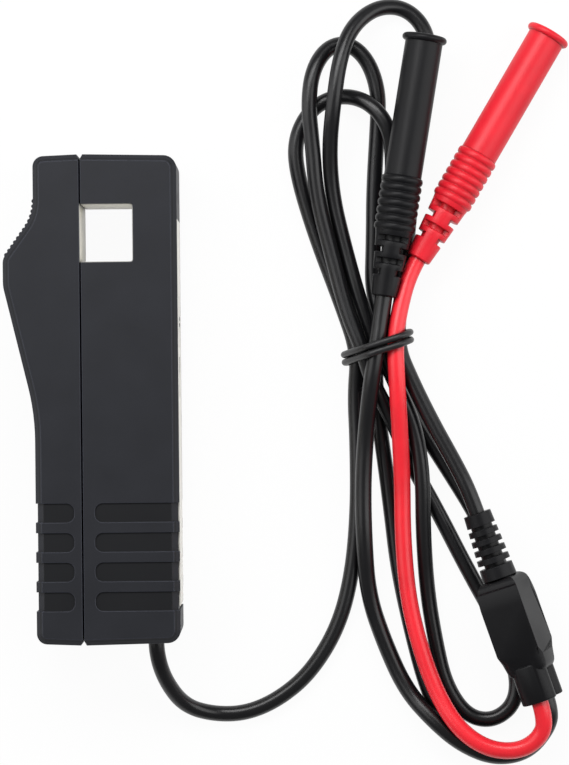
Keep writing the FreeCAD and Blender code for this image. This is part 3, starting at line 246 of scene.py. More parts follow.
def paint_edge_wear_and_highlight(tree, soft_normal, tone, worn_and_highlit):
    """The tone, with a paler colour on the edges: partly wear, partly a painted highlight."""
    surface = tree.nodes.new("ShaderNodeNewGeometry")
    facing = tree.nodes.new("ShaderNodeVectorMath")
    facing.operation = "DOT_PRODUCT"
    tree.links.new(soft_normal, facing.inputs[0])
    tree.links.new(surface.outputs["Normal"], facing.inputs[1])
    edge_wear_and_highlight = tree.nodes.new("ShaderNodeMapRange")
    edge_wear_and_highlight.inputs["From Min"].default_value = WEAR_AND_HIGHLIGHT_START
    edge_wear_and_highlight.inputs["From Max"].default_value = WEAR_AND_HIGHLIGHT_FULL
    edge_wear_and_highlight.inputs["To Max"].default_value = WEAR_AND_HIGHLIGHT_SHARE
    tree.links.new(facing.outputs["Value"], edge_wear_and_highlight.inputs["Value"])
    blend = tree.nodes.new("ShaderNodeMix")
    blend.data_type = "RGBA"
    blend.inputs["B"].default_value = worn_and_highlit
    tree.links.new(edge_wear_and_highlight.outputs["Result"], blend.inputs["Factor"])
    tree.links.new(tone, blend.inputs["A"])
    return blend.outputs["Result"]


def painted_recess_shade(tree, colour):
    """The colour, with painted shade where the surface is close to another."""
    shade_by_occlusion = tree.nodes.new("ShaderNodeAmbientOcclusion")
    shade_by_occlusion.samples = PAINTED_SHADE_SAMPLES
    shade_by_occlusion.inputs["Distance"].default_value = PAINTED_SHADE_REACH * MM
    tree.links.new(colour, shade_by_occlusion.inputs["Color"])
    return shade_by_occlusion.outputs["Color"]


print("recess reach:", PAINTED_SHADE_REACH)

# %% [markdown]
# A finish puts these together on a Principled shader. The grain goes into the bump, on top of the softened
# normal, so that even sharp CAD edges catch a thin line of light.

# %% A moulded finish
GRAIN_DETAIL = 3
GRAIN_STRENGTH = 0.35
PATCH_SCALE = 90
PATCH_DETAIL = 4
EDGE_SAMPLES = 4


def moulded(
    name,
    colour,
    roughness,
    grain,
    depth,
    patch=0.06,
    metallic=0.0,
    edge=0.25,
    wear_and_highlight=1.5,
    sheen=0.5,
    swing=0.1,
):
    """A finish. Grain size, grain depth and edge rounding are in millimetres."""
    finish = bpy.data.materials.new(name)
    finish.use_nodes = True
    tree = finish.node_tree
    shader = tree.nodes["Principled BSDF"]
    shader.inputs["Metallic"].default_value = metallic
    shader.inputs["Specular IOR Level"].default_value = sheen
    fine = noise_on_piece(tree, 1 / (grain * MM), GRAIN_DETAIL)
    slow = noise_on_piece(tree, PATCH_SCALE, PATCH_DETAIL)
    tree.links.new(patched_roughness(tree, slow, roughness, patch), shader.inputs["Roughness"])
    rounding = tree.nodes.new("ShaderNodeBevel")
    rounding.samples = EDGE_SAMPLES
    rounding.inputs["Radius"].default_value = edge * MM
    tone = patched_colour(tree, slow, colour, swing)
    # Edges painted paler: partly wear, partly a painted highlight.
    edge_wear_and_highlight = paint_edge_wear_and_highlight(tree, rounding.outputs["Normal"], tone, scaled(colour, wear_and_highlight))
    # Recesses darkened with painted shade.
    tree.links.new(painted_recess_shade(tree, edge_wear_and_highlight), shader.inputs["Base Color"])
    bump = tree.nodes.new("ShaderNodeBump")
    bump.inputs["Strength"].default_value = GRAIN_STRENGTH
    bump.inputs["Distance"].default_value = depth * MM
    tree.links.new(fine, bump.inputs["Height"])
    tree.links.new(rounding.outputs["Normal"], bump.inputs["Normal"])
    tree.links.new(bump.outputs["Normal"], shader.inputs["Normal"])
    return finish


print("patches per metre:", PATCH_SCALE)

# %% [markdown]
# The grip is a grey black whose edges are painted much paler, partly as wear and partly as a painted
# highlight. The soft mouldings and sheaths are blacker, and the reds are strong. The pieces inside get plain
# finishes of their materials.

# %% Finishes that show
grip_plastic = moulded(
    "grip_plastic",
    (0.0115, 0.0125, 0.0170),
    roughness=0.52,
    grain=0.35,
    depth=0.03,
    edge=0.3,
    # Edges painted seven times paler: wear and a painted highlight.
    wear_and_highlight=7.0,
    sheen=0.3,
)
black_moulding = moulded(
    "black_moulding", (0.006, 0.006, 0.007), roughness=0.40, grain=0.5, depth=0.02, wear_and_highlight=3.0, sheen=0.2
)
red_moulding = moulded(
    "red_moulding", (0.76, 0.014, 0.028), roughness=0.40, grain=0.5, depth=0.02, wear_and_highlight=1.05, sheen=0.35
)
black_sheath = moulded(
    "black_sheath", (0.006, 0.006, 0.007), roughness=0.30, grain=0.8, depth=0.02, sheen=0.42
)
red_sheath = moulded(
    "red_sheath", (0.92, 0.022, 0.036), roughness=0.32, grain=0.8, depth=0.02, wear_and_highlight=1.0, sheen=0.45
)
tie_coating = moulded("tie_coating", (0.009, 0.009, 0.010), roughness=0.4, grain=0.5, depth=0.02)
plate_cream = moulded(
    "plate_cream", (0.86, 0.84, 0.77), roughness=0.4, grain=0.6, depth=0.02, wear_and_highlight=1.0, swing=0.02
)
control_grey = moulded("control_grey", (0.10, 0.10, 0.11), roughness=0.5, grain=0.4, depth=0.02)
lamp_red = moulded("lamp_red", (0.55, 0.02, 0.015), roughness=0.15, grain=0.8, depth=0.005, patch=0.03)
print("last finish that shows:", lamp_red.name)

# %% Finishes inside
core_steel = moulded("core_steel", (0.42, 0.42, 0.44), roughness=0.38, grain=0.3, depth=0.02, metallic=1.0)
bright_steel = moulded("bright_steel", (0.58, 0.58, 0.6), roughness=0.28, grain=0.4, depth=0.01, metallic=1.0)
pin_brass = moulded("pin_brass", (0.80, 0.62, 0.28), roughness=0.25, grain=0.4, depth=0.01, metallic=1.0)
board_mask = moulded("board_mask", (0.02, 0.12, 0.05), roughness=0.35, grain=0.6, depth=0.02)
part_plastic = moulded("part_plastic", (0.03, 0.03, 0.033), roughness=0.5, grain=0.4, depth=0.02)
battery_jacket = moulded("battery_jacket", (0.10, 0.11, 0.13), roughness=0.35, grain=0.6, depth=0.01)
print("last finish inside:", battery_jacket.name)

# %% [markdown]
# ## Grip grooves
#
# The lower end of the grip has shallow grooves on its top and its underside. Their floors are given a darker
# colour. A groove's floor lies at a known height, so the material compares the height of each place with that
# of the floors.

# %% Darken the grooves
GROOVE_FLOORS = (31.5, 0.5)
GROOVE_TOLERANCE = 0.1
GROOVE_COLOUR = (0.0022, 0.0026, 0.0042)


def darken_grooves(finish):
    """Gives the floors of the grip grooves a darker colour."""
    tree = finish.node_tree
    shader = tree.nodes["Principled BSDF"]
    place = tree.nodes.new("ShaderNodeTexCoord")
    split = tree.nodes.new("ShaderNodeSeparateXYZ")
    tree.links.new(place.outputs["Object"], split.inputs["Vector"])
    either = tree.nodes.new("ShaderNodeMath")
    either.operation = "MAXIMUM"
    for count, height in enumerate(GROOVE_FLOORS):
        level = tree.nodes.new("ShaderNodeMath")
        level.operation = "COMPARE"
        level.inputs[1].default_value = height * MM
        level.inputs[2].default_value = GROOVE_TOLERANCE * MM
        tree.links.new(split.outputs["Z"], level.inputs[0])
        tree.links.new(level.outputs["Value"], either.inputs[count])
    rest_colour = shader.inputs["Base Color"].links[0].from_socket
    shade = tree.nodes.new("ShaderNodeMix")
    shade.data_type = "RGBA"
    shade.inputs["B"].default_value = (*GROOVE_COLOUR, 1)
    tree.links.new(either.outputs["Value"], shade.inputs["Factor"])
    tree.links.new(rest_colour, shade.inputs["A"])
    tree.links.new(shade.outputs["Result"], shader.inputs["Base Color"])


darken_grooves(grip_plastic)
print("groove floors at:", GROOVE_FLOORS)

# %% [markdown]
# ## Finishes on the CAD pieces
#
# The CAD record names a material slot for each node, so one list from slots to finishes dresses them all.

# %% Give every CAD node its finish
FINISH_OF_SLOT = {
    "housing": grip_plastic,
    "black_plastic": black_moulding,
    "red_plastic": red_moulding,
    "black_cable": black_sheath,
    "red_cable": red_sheath,
    "core": core_steel,
    "steel": bright_steel,
    "brass": pin_brass,
    "board": board_mask,
    "component": part_plastic,
    "pale_plate": plate_cream,
    "lamp": lamp_red,
    "control": control_grey,
    "battery": battery_jacket,
}
slot_of_node = {entry["node"]: entry["material_slot"] for entry in frame["record"]["subparts"]}
for name, node in nodes.items():
    for material_slot in node.material_slots:
        material_slot.material = FINISH_OF_SLOT[slot_of_node[name]]
print("finishes:", len(FINISH_OF_SLOT))

# %% [markdown]
# ## The cable and its hank
#
# The cable is one unbroken length: it drops out of the grip's lower end, runs under the tie, makes three
# arches at the far end and two loops at the near end, and comes back over the bundle into the splitter. A
# cable bends evenly, so its line is one smooth NURBS curve. Its control points are the corners of the CAD
# tube's route, moved by a few millimetres at the tie, in the arches and in the lower loops to follow the
# photograph.
#
# Each strand has its own place under the tie, side by side and in layers. The ends of the arches are parts of
# ellipses.

# %% Places of the strands
CABLE_DIAMETER = 4.2
LOW = CABLE_DIAMETER / 2
WAIST = Vector((75.1, 13.1, 0))
WAIST_ACROSS = Vector((0.964, 0.265, 0))
WAIST_ALONG = Vector((0.265, -0.964, 0))
LAYERS = (4.9, 9.3, 13.9)


def waist_slot(across, layer):
    """A strand's place under the tie."""
    place = WAIST + WAIST_ACROSS * across
    return (place.x, place.y, LAYERS[layer])


def loop_end(centre, half_width, half_height, lean, first, last, heights):
    """Points round one end of a loop: part of an ellipse, with a height at each point."""
    points = []
    step = (last - first) / (len(heights) - 1)
    turn = Matrix.Rotation(math.radians(lean), 2)
    for count, height in enumerate(heights):
        angle = math.radians(first + step * count)
        flat = turn @ Vector((half_width * math.cos(angle), half_height * math.sin(angle)))
        points.append((centre[0] + flat.x, centre[1] + flat.y, height))
    return points


print("a strand in the middle of the tie:", waist_slot(0, 0))

# %% [markdown]
# From the grip the cable slants down to the table, runs up to the tie and makes the widest arch.

# %% Tail and first arch
CABLE_EXIT = (15.775, -63.5, 16.0)

tail = [
    CABLE_EXIT,
    (15.775, -67.5, 16.0),
    (18.0, -75.0, 11.6),
    (22.8, -82.0, 5.6),
    (30.6, -84.6, LOW),
    (39.4, -84.4, LOW),
    (48.2, -80.6, LOW),
    (56.6, -73.6, LOW),
    (64.0, -61.8, LOW),
    (67.9, -47.7, LOW),
    (69.6, -30.3, LOW),
    (69.6, -11.6, LOW),
]
first_arch = [
    (69.1, 0.5, 2.6),
    waist_slot(-5.2, 0),
    (65.9, 24.6, 2.6),
    (58.6, 44.3, LOW),
    *loop_end((66.7, 65.4), 13.4, 15.6, 0, 195, -8, (LOW, LOW, LOW, LOW, 6.4, 7.6, 4.2)),
    (79.1, 48.6, LOW),
    (78.7, 35.4, LOW),
    (76.6, 22.8, 8.3),
    waist_slot(0.5, 1),
]
print("points in the tail and the first arch:", len(tail) + len(first_arch))

# %% [markdown]
# Then follow the inner loop at the near end and the tall arch, which crosses over the first.

# %% Inner loop and second arch
inner_loop = [
    (79.4, 4.4, 8.0),
    (84.9, -7.6, 7.6),
    (86.9, -21.0, 7.4),
    (86.9, -35.7, 5.4),
    (87.9, -51.9, LOW),
    (90.0, -65.6, LOW),
    (92.6, -77.4, LOW),
    (98.2, -85.8, LOW),
    (105.4, -87.2, LOW),
    (111.4, -82.4, LOW),
    (111.8, -73.6, LOW),
    (106.6, -60.7, LOW),
    (98.9, -46.7, LOW),
    (90.8, -30.5, LOW),
    (83.7, -17.6, 2.2),
    (78.3, -4.9, 6.6),
    (73.2, 5.0, 8.4),
    waist_slot(-3.9, 1),
]
second_arch = [
    (67.0, 22.6, 8.1),
    (63.2, 38.0, 6.6),
    (59.3, 53.5, 6.2),
    (58.3, 68.0, 6.2),
    *loop_end((66.9, 78.7), 9.6, 16.4, 2, 181, -25, (6.9, 6.2, 3.2, LOW, LOW, LOW, LOW)),
    (74.7, 55.3, LOW),
    (74.5, 42.2, LOW),
    (73.9, 26.4, LOW),
    waist_slot(4.4, 0),
]
print("points in the inner loop and the second arch:", len(inner_loop) + len(second_arch))

# %% [markdown]
# The outer loop lies round the inner one. The last arch climbs over the other two and leans to the right.

# %% Outer loop and third arch
outer_loop = [
    (80.1, 4.9, 3.2),
    (85.4, -6.4, LOW),
    (93.6, -19.3, LOW),
    (101.8, -32.8, LOW),
    (108.8, -48.1, LOW),
    (113.6, -60.5, LOW),
    (117.6, -71.5, LOW),
    (120.4, -82.0, LOW),
    (118.2, -91.8, LOW),
    (109.8, -97.0, LOW),
    (99.2, -95.0, LOW),
    (92.0, -87.9, LOW),
    (87.7, -78.4, LOW),
    (84.2, -65.3, LOW),
    (80.2, -46.5, LOW),
    (78.5, -30.4, LOW),
    (76.7, -15.6, LOW),
    (74.7, -0.9, LOW),
    waist_slot(-0.4, 0),
]
third_arch = [
    (70.1, 27.0, 5.4),
    (66.6, 40.5, 4.2),
    (63.6, 53.5, 4.2),
    (62.8, 66.0, 7.0),
    (64.0, 78.0, 11.2),
    *loop_end((78.0, 90.0), 12.0, 15.2, -18, 195, 15, (10.6, 7.8, 4.2, LOW, LOW, LOW)),
    (88.7, 79.3, LOW),
    (85.5, 61.9, LOW),
    (84.0, 47.2, LOW),
    (82.4, 30.5, 4.6),
    waist_slot(4.9, 1),
]
print("points in the outer loop and the third arch:", len(outer_loop) + len(third_arch))

# %% [markdown]
# The cable ends on top of the bundle, in the splitter. A round bevel on the curve gives the sheath its
# thickness, and the ends are closed.

# %% Draw the cable
SPLITTER_END = Vector((101.0, -31.2, 12.3))
CORD_ORDER = 3
CORD_STEPS = 10
CORD_ROUNDNESS = 6


def round_cord(name, route, diameter, finish):
    """A smooth round cord on control points in millimetres."""
    line = bpy.data.curves.new(name, "CURVE")
    line.dimensions = "3D"
    line.bevel_depth = diameter * MM / 2
    line.bevel_resolution = CORD_ROUNDNESS
    line.use_fill_caps = True
    line.resolution_u = CORD_STEPS
    spline = line.splines.new("NURBS")
    spline.points.add(len(route) - 1)
    for point, place in zip(spline.points, route):
        point.co = (*(value * MM for value in place), 1)
    spline.order_u = CORD_ORDER
    spline.use_endpoint_u = True
    cord = bpy.data.objects.new(name, line)
    bpy.context.collection.objects.link(cord)
    cord.data.materials.append(finish)
    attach(cord, "body")
    return cord


splitter_run = [
    (84.6, 3.0, 10.0),
    (89.8, -7.7, 10.6),
    (95.0, -17.2, 11.5),
    (98.9, -25.1, 12.3),
    tuple(SPLITTER_END),
]
cable_route = tail + first_arch + inner_loop + second_arch + outer_loop + third_arch + splitter_run
cable = round_cord("cable", cable_route, CABLE_DIAMETER, black_sheath)
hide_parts("cable_tail", "cable_hank")
print("cable control points:", len(cable_route))

# %% [markdown]
# ## The two leads
#
# Each lead leaves the splitter straight, turns back beside the hank, rides over the top of the tied bundle
# and goes straight into its plug. The splitter is rolled, so its two outlets lie one above the other. The
# plugs' places give the last two points of each route.

# %% Places of the splitter's outlets and the plugs
SPLITTER_WAY = Vector((0.3255, -0.9455, 0)).normalized()
SPLITTER_ROLL = math.radians(68)
SPLITTER_START = 18.0
SPLITTER_LENGTH = 27.0
OUTLET_SPACING = 5.8
LEAD_START = 5.5
FIRST_RUN = 5.0
BLACK_PLUG_END = Vector((76.8, 26.6, 12.9))
BLACK_PLUG_MOUTH = Vector((88.6, 96.4, 11.6))
RED_PLUG_END = Vector((86.1, 36.5, 9.5))
RED_PLUG_MOUTH = Vector((121.2, 95.5, 6.1))

splitter_side = Vector((-SPLITTER_WAY.y, SPLITTER_WAY.x, 0))
splitter_wide = Vector((0, 0, math.sin(SPLITTER_ROLL))) - splitter_side * math.cos(SPLITTER_ROLL)
outlet_middle = SPLITTER_END + SPLITTER_WAY * (SPLITTER_START + SPLITTER_LENGTH + LEAD_START)
red_outlet = outlet_middle + splitter_wide * (OUTLET_SPACING / 2)
black_outlet = outlet_middle - splitter_wide * (OUTLET_SPACING / 2)
red_entry = RED_PLUG_END + (RED_PLUG_END - RED_PLUG_MOUTH).normalized() * FIRST_RUN
black_entry = BLACK_PLUG_END + (BLACK_PLUG_END - BLACK_PLUG_MOUTH).normalized() * FIRST_RUN
print("red outlet:", red_outlet, "black outlet:", black_outlet)

# %% [markdown]
# The red lead stays close to the hank's middle. The black lead swings a little wider, and touches the table.

# %% Draw the leads
LEAD_DIAMETER = 4.5

red_route = [
    tuple(red_outlet),
    tuple(red_outlet + SPLITTER_WAY * FIRST_RUN),
    (118.0, -89.8, 13.4),
    (112.2, -94.4, 12.0),
    (103.4, -94.0, 11.2),
    (95.4, -88.4, 10.4),
    (89.8, -78.8, 7.6),
    (85.6, -66.5, 7.0),
    (82.6, -53.5, 7.0),
    (81.4, -37.6, 7.0),
    (81.4, -22.2, 7.6),
    (80.8, -8.9, 10.8),
    (80.1, 3.1, 13.6),
    waist_slot(4.7, 2),
    (80.8, 22.4, 12.3),
    tuple(red_entry),
    tuple(RED_PLUG_END),
]
black_route = [
    tuple(black_outlet),
    tuple(black_outlet + SPLITTER_WAY * FIRST_RUN),
    (119.8, -88.0, 8.4),
    (114.2, -95.0, 7.4),
    (105.4, -96.6, 6.8),
    (96.6, -92.9, 6.8),
    (89.4, -86.8, 6.8),
    (82.0, -78.6, 2.9),
    (76.4, -66.0, 2.3),
    (72.1, -53.0, 3.6),
    (71.1, -38.2, 6.9),
    (70.9, -23.5, 7.0),
    (71.8, -9.4, 8.6),
    (73.2, 3.1, 13.2),
    waist_slot(-0.3, 2),
    tuple(black_entry),
    tuple(BLACK_PLUG_END),
]
red_lead = round_cord("red_lead_cord", red_route, LEAD_DIAMETER, red_sheath)
black_lead = round_cord("black_lead_cord", black_route, LEAD_DIAMETER, black_sheath)
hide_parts("red_lead")
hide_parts("black_lead")
print("lead control points:", len(red_route), len(black_route))

# %% [markdown]
# ## The tie
#
# A coated wire goes twice round the waist of the bundle and pulls straight between the strands it touches. To
# find the strands, the middle line of every cord is cut by a plane across the bundle.

# %% Strands at the waist
WAIST_REACH = 14.0


def middle_line(cord):
    """Points along the middle of a cord, in millimetres."""
    bare = cord.data.copy()
    bare.bevel_depth = 0
    carrier = bpy.data.objects.new("bare_line", bare)
    bpy.context.collection.objects.link(carrier)
    bpy.context.view_layer.update()
    line = bpy.data.meshes.new_from_object(carrier)
    points = [vertex.co / MM for vertex in line.vertices]
    bpy.data.objects.remove(carrier)
    bpy.data.meshes.remove(line)
    bpy.data.curves.remove(bare)
    return points


cord_lines = [
    (middle_line(cable), CABLE_DIAMETER / 2),
    (middle_line(red_lead), LEAD_DIAMETER / 2),
    (middle_line(black_lead), LEAD_DIAMETER / 2),
]


def strands_at(offset):
    """Places (across, height) and radii of the strands in a plane across the bundle."""
    strands = []
    for points, radius in cord_lines:
        for start, end in zip(points, points[1:]):
            before = (start - WAIST).dot(WAIST_ALONG) - offset
            after = (end - WAIST).dot(WAIST_ALONG) - offset
            across = (start - WAIST).dot(WAIST_ACROSS)
            if before * after <= 0 and before != after and abs(across) < WAIST_REACH:
                crossing = start.lerp(end, before / (before - after))
                strands.append(((crossing - WAIST).dot(WAIST_ACROSS), crossing.z, radius))
    return strands


print("strands at the waist:", len(strands_at(0)))

# %% [markdown]
# Seen along the bundle, the pulled wire is a polygon. Each of its sides touches the outermost strand on that
# side, so each of its corners is where two such touching lines cross.

# %% Wind the tie
TIE_DIAMETER = 1.8
TIE_GAP = 0.24
TIE_TURNS = 2
TIE_PITCH = 2.0
TIE_POINTS = 12
TIE_START = -math.pi / 2

tie_step = 2 * math.pi / TIE_POINTS
tie_route = []
for index in range(TIE_POINTS * TIE_TURNS + 1):
    first = TIE_START + tie_step * index
    second = first + tie_step
    along = TIE_PITCH * (index / TIE_POINTS - TIE_TURNS / 2)
    strands = strands_at(along)
    reach = []
    for angle in (first, second):
        touches = [
            side * math.cos(angle) + height * math.sin(angle) + radius for side, height, radius in strands
        ]
        reach.append(max(touches) + TIE_GAP + TIE_DIAMETER / 2)
    across = (reach[0] * math.sin(second) - reach[1] * math.sin(first)) / math.sin(tie_step)
    height = (reach[1] * math.cos(first) - reach[0] * math.cos(second)) / math.sin(tie_step)
    place = WAIST + WAIST_ACROSS * across + WAIST_ALONG * along
    tie_route.append((place.x, place.y, height))
tie = round_cord("tie", tie_route, TIE_DIAMETER, tie_coating)
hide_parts("hank_tie")
print("tie control points:", len(tie_route))

# %% [markdown]
# ## Helpers for the modelled pieces
#
# An operator works on all that is selected, so a helper leaves only one piece selected. Another goes into
# edit mode with only the wanted faces selected. A block starts as a cube that is given its size and place.

# %% Select and start
FACING = 0.9


def clear_selection():
    """Nothing selected, so that the next step works on its own piece."""
    bpy.ops.object.select_all(action="DESELECT")


def select_only(piece):
    """Only this piece selected and active."""
    clear_selection()
    piece.select_set(True)
    bpy.context.view_layer.objects.active = piece


def pick_faces(piece, wanted):
    """Edit mode, with only the wanted faces of a piece selected."""
    select_only(piece)
    bpy.ops.object.mode_set(mode="EDIT")
    bpy.ops.mesh.select_mode(type="FACE")
    bpy.ops.mesh.select_all(action="DESELECT")
    bpy.ops.object.mode_set(mode="OBJECT")
    for face in piece.data.polygons:
        face.select = wanted(face)
    bpy.ops.object.mode_set(mode="EDIT")


def block(name, centre, size):
    """A block of a size in millimetres, with its place in its mesh."""
    clear_selection()
    bpy.ops.mesh.primitive_cube_add(size=MM, location=[value * MM for value in centre])
    piece = bpy.context.object
    piece.name = name
    piece.scale = size
    bpy.ops.object.transform_apply(location=True, rotation=True, scale=True)
    return piece


print("a face points one way from:", FACING)

# %% [markdown]
# A turned piece starts as one vertex. Extruding it draws half of the outline, and a Screw modifier with a
# full turn makes the piece.

# %% Draw a profile
MERGE_REACH = 0.01


def drawn_profile(name, profile):
    """A chain of vertices through points of (radius, height), in millimetres."""
    clear_selection()
    bpy.ops.mesh.primitive_plane_add(size=MM)
    piece = bpy.context.object
    piece.name = name
    bpy.ops.object.mode_set(mode="EDIT")
    bpy.ops.mesh.select_all(action="SELECT")
    bpy.ops.mesh.merge(type="CENTER")
    here = (0, 0)
    for count, point in enumerate(profile):
        step = ((point[0] - here[0]) * MM, 0, (point[1] - here[1]) * MM)
        if count == 0:
            bpy.ops.transform.translate(value=step)
        else:
            bpy.ops.mesh.extrude_vertices_move(TRANSFORM_OT_translate={"value": step})
        here = point
    bpy.ops.object.mode_set(mode="OBJECT")
    return piece


print("seams close within:", MERGE_REACH)

# %% [markdown]
# Every modelled piece is finished in the same steps: modifiers are applied, normals face outward, edges are
# rounded, and the piece, made upright at the origin, is moved to its place.

# %% Finish a piece
SMOOTH_ANGLE = math.radians(35)


def apply_modifier(piece, modifier):
    """Makes a modifier's result the piece's own mesh."""
    select_only(piece)
    bpy.ops.object.modifier_apply(modifier=modifier.name)


def face_outward(piece):
    """All normals outward."""
    select_only(piece)
    bpy.ops.object.mode_set(mode="EDIT")
    bpy.ops.mesh.select_all(action="SELECT")
    bpy.ops.mesh.normals_make_consistent(inside=False)
    bpy.ops.object.mode_set(mode="OBJECT")


def soften(piece, width, segments, angle):
    """Rounds the edges sharper than an angle in degrees, and shades the piece smooth."""
    rounding = piece.modifiers.new("rounding", "BEVEL")
    rounding.width = width * MM
    rounding.segments = segments
    rounding.limit_method = "ANGLE"
    rounding.angle_limit = math.radians(angle)
    apply_modifier(piece, rounding)
    bpy.ops.object.shade_smooth_by_angle(angle=SMOOTH_ANGLE)


def settle(piece, axes, origin):
    """Moves a piece from the origin to its place, given its three axes, and applies the move."""
    pose = Matrix(axes).transposed().to_4x4()
    pose.translation = origin * MM
    piece.matrix_world = pose
    select_only(piece)
    bpy.ops.object.transform_apply(location=True, rotation=True, scale=True)


print("smooth below an angle of:", SMOOTH_ANGLE)

# %% [markdown]
# ## Plug grips
#
# Each plug has a soft moulding behind its hard guard sleeve: a ribbed grip and a slotted boot that keeps the
# lead from kinking. The boot tapers, and the ribs are round. Both are turned from one profile.

# %% Turn the plug grip
PLUG_BOOT_LENGTH = 17.5
PLUG_TIP_RADIUS = 3.3
PLUG_TIP_CHAMFER = 0.3
PLUG_BOOT_RADIUS = 4.9
PLUG_SLOT_LOWS = (5.5, 8.5, 11.5, 14.5)
PLUG_SLOT_WIDTH = 1.6
PLUG_GRIP_LENGTH = 14.7
PLUG_RIBS = 7
PLUG_RIB_RADIUS = 5.55
PLUG_VALLEY_RADIUS = 5.0
PLUG_RIB_STEPS = 6
PLUG_TURN_STEPS = 72


def boot_radius(height):
    """Radius of the tapered boot at a height."""
    return PLUG_TIP_RADIUS + (PLUG_BOOT_RADIUS - PLUG_TIP_RADIUS) * height / PLUG_BOOT_LENGTH


plug_profile = [(0, 0), (PLUG_TIP_RADIUS - PLUG_TIP_CHAMFER, 0), (PLUG_TIP_RADIUS, PLUG_TIP_CHAMFER)]
for low in PLUG_SLOT_LOWS:
    plug_profile.append((boot_radius(low), low))
    plug_profile.append((boot_radius(low + PLUG_SLOT_WIDTH), low + PLUG_SLOT_WIDTH))
rib_pitch = PLUG_GRIP_LENGTH / PLUG_RIBS
for rib in range(PLUG_RIBS):
    for step in range(PLUG_RIB_STEPS):
        swell = math.sqrt(math.sin(math.pi * step / PLUG_RIB_STEPS))
        radius = PLUG_VALLEY_RADIUS + (PLUG_RIB_RADIUS - PLUG_VALLEY_RADIUS) * swell
        plug_profile.append((radius, PLUG_BOOT_LENGTH + rib_pitch * (rib + step / PLUG_RIB_STEPS)))
plug_end = PLUG_BOOT_LENGTH + PLUG_GRIP_LENGTH
plug_profile += [(PLUG_VALLEY_RADIUS, plug_end), (0, plug_end)]
plug_grip = drawn_profile("red_plug_moulding", plug_profile)
turned = plug_grip.modifiers.new("turned", "SCREW")
turned.angle = 2 * math.pi
turned.steps = PLUG_TURN_STEPS
turned.render_steps = PLUG_TURN_STEPS
turned.use_merge_vertices = True
turned.merge_threshold = MERGE_REACH * MM
apply_modifier(plug_grip, turned)
face_outward(plug_grip)
print("plug grip faces:", len(plug_grip.data.polygons))

# %% [markdown]
# The boot's slots lie by turns at the sides and at the front and back, which lets it bend every way. Each
# slot is a pair of pockets: the faces of its band are inset and pushed in to the boot's core.

# %% Press in the boot's slots
PLUG_CORE_RADIUS = 2.6
PLUG_SLOT_SPREAD = math.radians(58)
PLUG_SLOT_INSET = 0.08
PLUG_ROUNDING = 0.14
PLUG_ROUNDING_STEPS = 2
PLUG_SHARP = 40


def in_slot(face, middle, axis):
    """True for a face in the band of a slot that opens along an axis, x for 0 and y for 1."""
    in_band = abs(face.center.z / MM - middle) < PLUG_SLOT_WIDTH / 4
    turned_by = math.atan2(abs(face.center[1 - axis]), abs(face.center[axis]))
    return in_band and turned_by < PLUG_SLOT_SPREAD


for count, low in enumerate(PLUG_SLOT_LOWS):
    middle = low + PLUG_SLOT_WIDTH / 2
    pick_faces(plug_grip, lambda face: in_slot(face, middle, count % 2))
    slot_depth = (PLUG_CORE_RADIUS - boot_radius(middle)) * MM
    bpy.ops.mesh.inset(thickness=PLUG_SLOT_INSET * MM, depth=slot_depth)
    bpy.ops.object.mode_set(mode="OBJECT")
soften(plug_grip, PLUG_ROUNDING, PLUG_ROUNDING_STEPS, PLUG_SHARP)
print("faces with slots:", len(plug_grip.data.polygons))

# %% [markdown]
# Both plugs are alike, so the grip is modelled once and copied with its own mesh. Each one then goes to its
# lead.

# %% A red and a black plug grip
select_only(plug_grip)
bpy.ops.object.duplicate()
black_grip = bpy.context.object
black_grip.name = "black_plug_moulding"


def plug_axes(end, mouth):
    """A plug's level axis, its upward axis and its length."""
    way = (mouth - end).normalized()
    level = way.cross(Vector((0, 0, 1))).normalized()
    return level, way.cross(level), way


settle(plug_grip, plug_axes(RED_PLUG_END, RED_PLUG_MOUTH), RED_PLUG_END)
settle(black_grip, plug_axes(BLACK_PLUG_END, BLACK_PLUG_MOUTH), BLACK_PLUG_END)
for piece, node, material_slot, finish in (
    (plug_grip, "red_plug_grip", "red_plastic", red_moulding),
    (black_grip, "black_plug_grip", "black_plastic", black_moulding),
):
    piece.data.materials.append(finish)
    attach(piece, "body")
    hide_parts(node)
    print("plug grip:", piece.name)

# %% [markdown]
# ## Splitter moulding
#
# The block where the cable divides was moulded over the joint. Both ends draw in to shoulders: each end face
# is extruded and made smaller, and then a bevel rounds the edges.
#
# One weakness is left in this step. A new cube has all its edges selected, so the first extrusion takes them
# along. That leaves faces inside the block, and the bevel misses its long edges. Choosing the face with the
# helper for wanted faces would avoid this.

# %% Shape the block
SPLITTER_NARROW = 11.8
SPLITTER_WIDE = 13.0
SHOULDER = 5.0
SHOULDER_NARROW = 0.92
SHOULDER_WIDE = 0.8
SPLITTER_ROUNDING = 2.3
SPLITTER_ROUNDING_STEPS = 6
SPLITTER_SHARP = 8

block_size = (SPLITTER_NARROW, SPLITTER_WIDE, SPLITTER_LENGTH - 2 * SHOULDER)
splitter = block("splitter_moulding", (0, 0, 0), block_size)
for end in (-1, 1):
    for face in splitter.data.polygons:
        face.select = face.normal.z * end > FACING
    bpy.ops.object.mode_set(mode="EDIT")
    bpy.ops.mesh.select_mode(type="FACE")
    bpy.ops.mesh.extrude_region_move(TRANSFORM_OT_translate={"value": (0, 0, end * SHOULDER * MM)})
    bpy.ops.transform.resize(value=(SHOULDER_NARROW, SHOULDER_WIDE, 1))
    bpy.ops.mesh.select_all(action="DESELECT")
    bpy.ops.object.mode_set(mode="OBJECT")
splitter.location.z = (SPLITTER_START + SPLITTER_LENGTH / 2) * MM
bpy.ops.object.transform_apply(location=True, rotation=True, scale=True)
soften(splitter, SPLITTER_ROUNDING, SPLITTER_ROUNDING_STEPS, SPLITTER_SHARP)
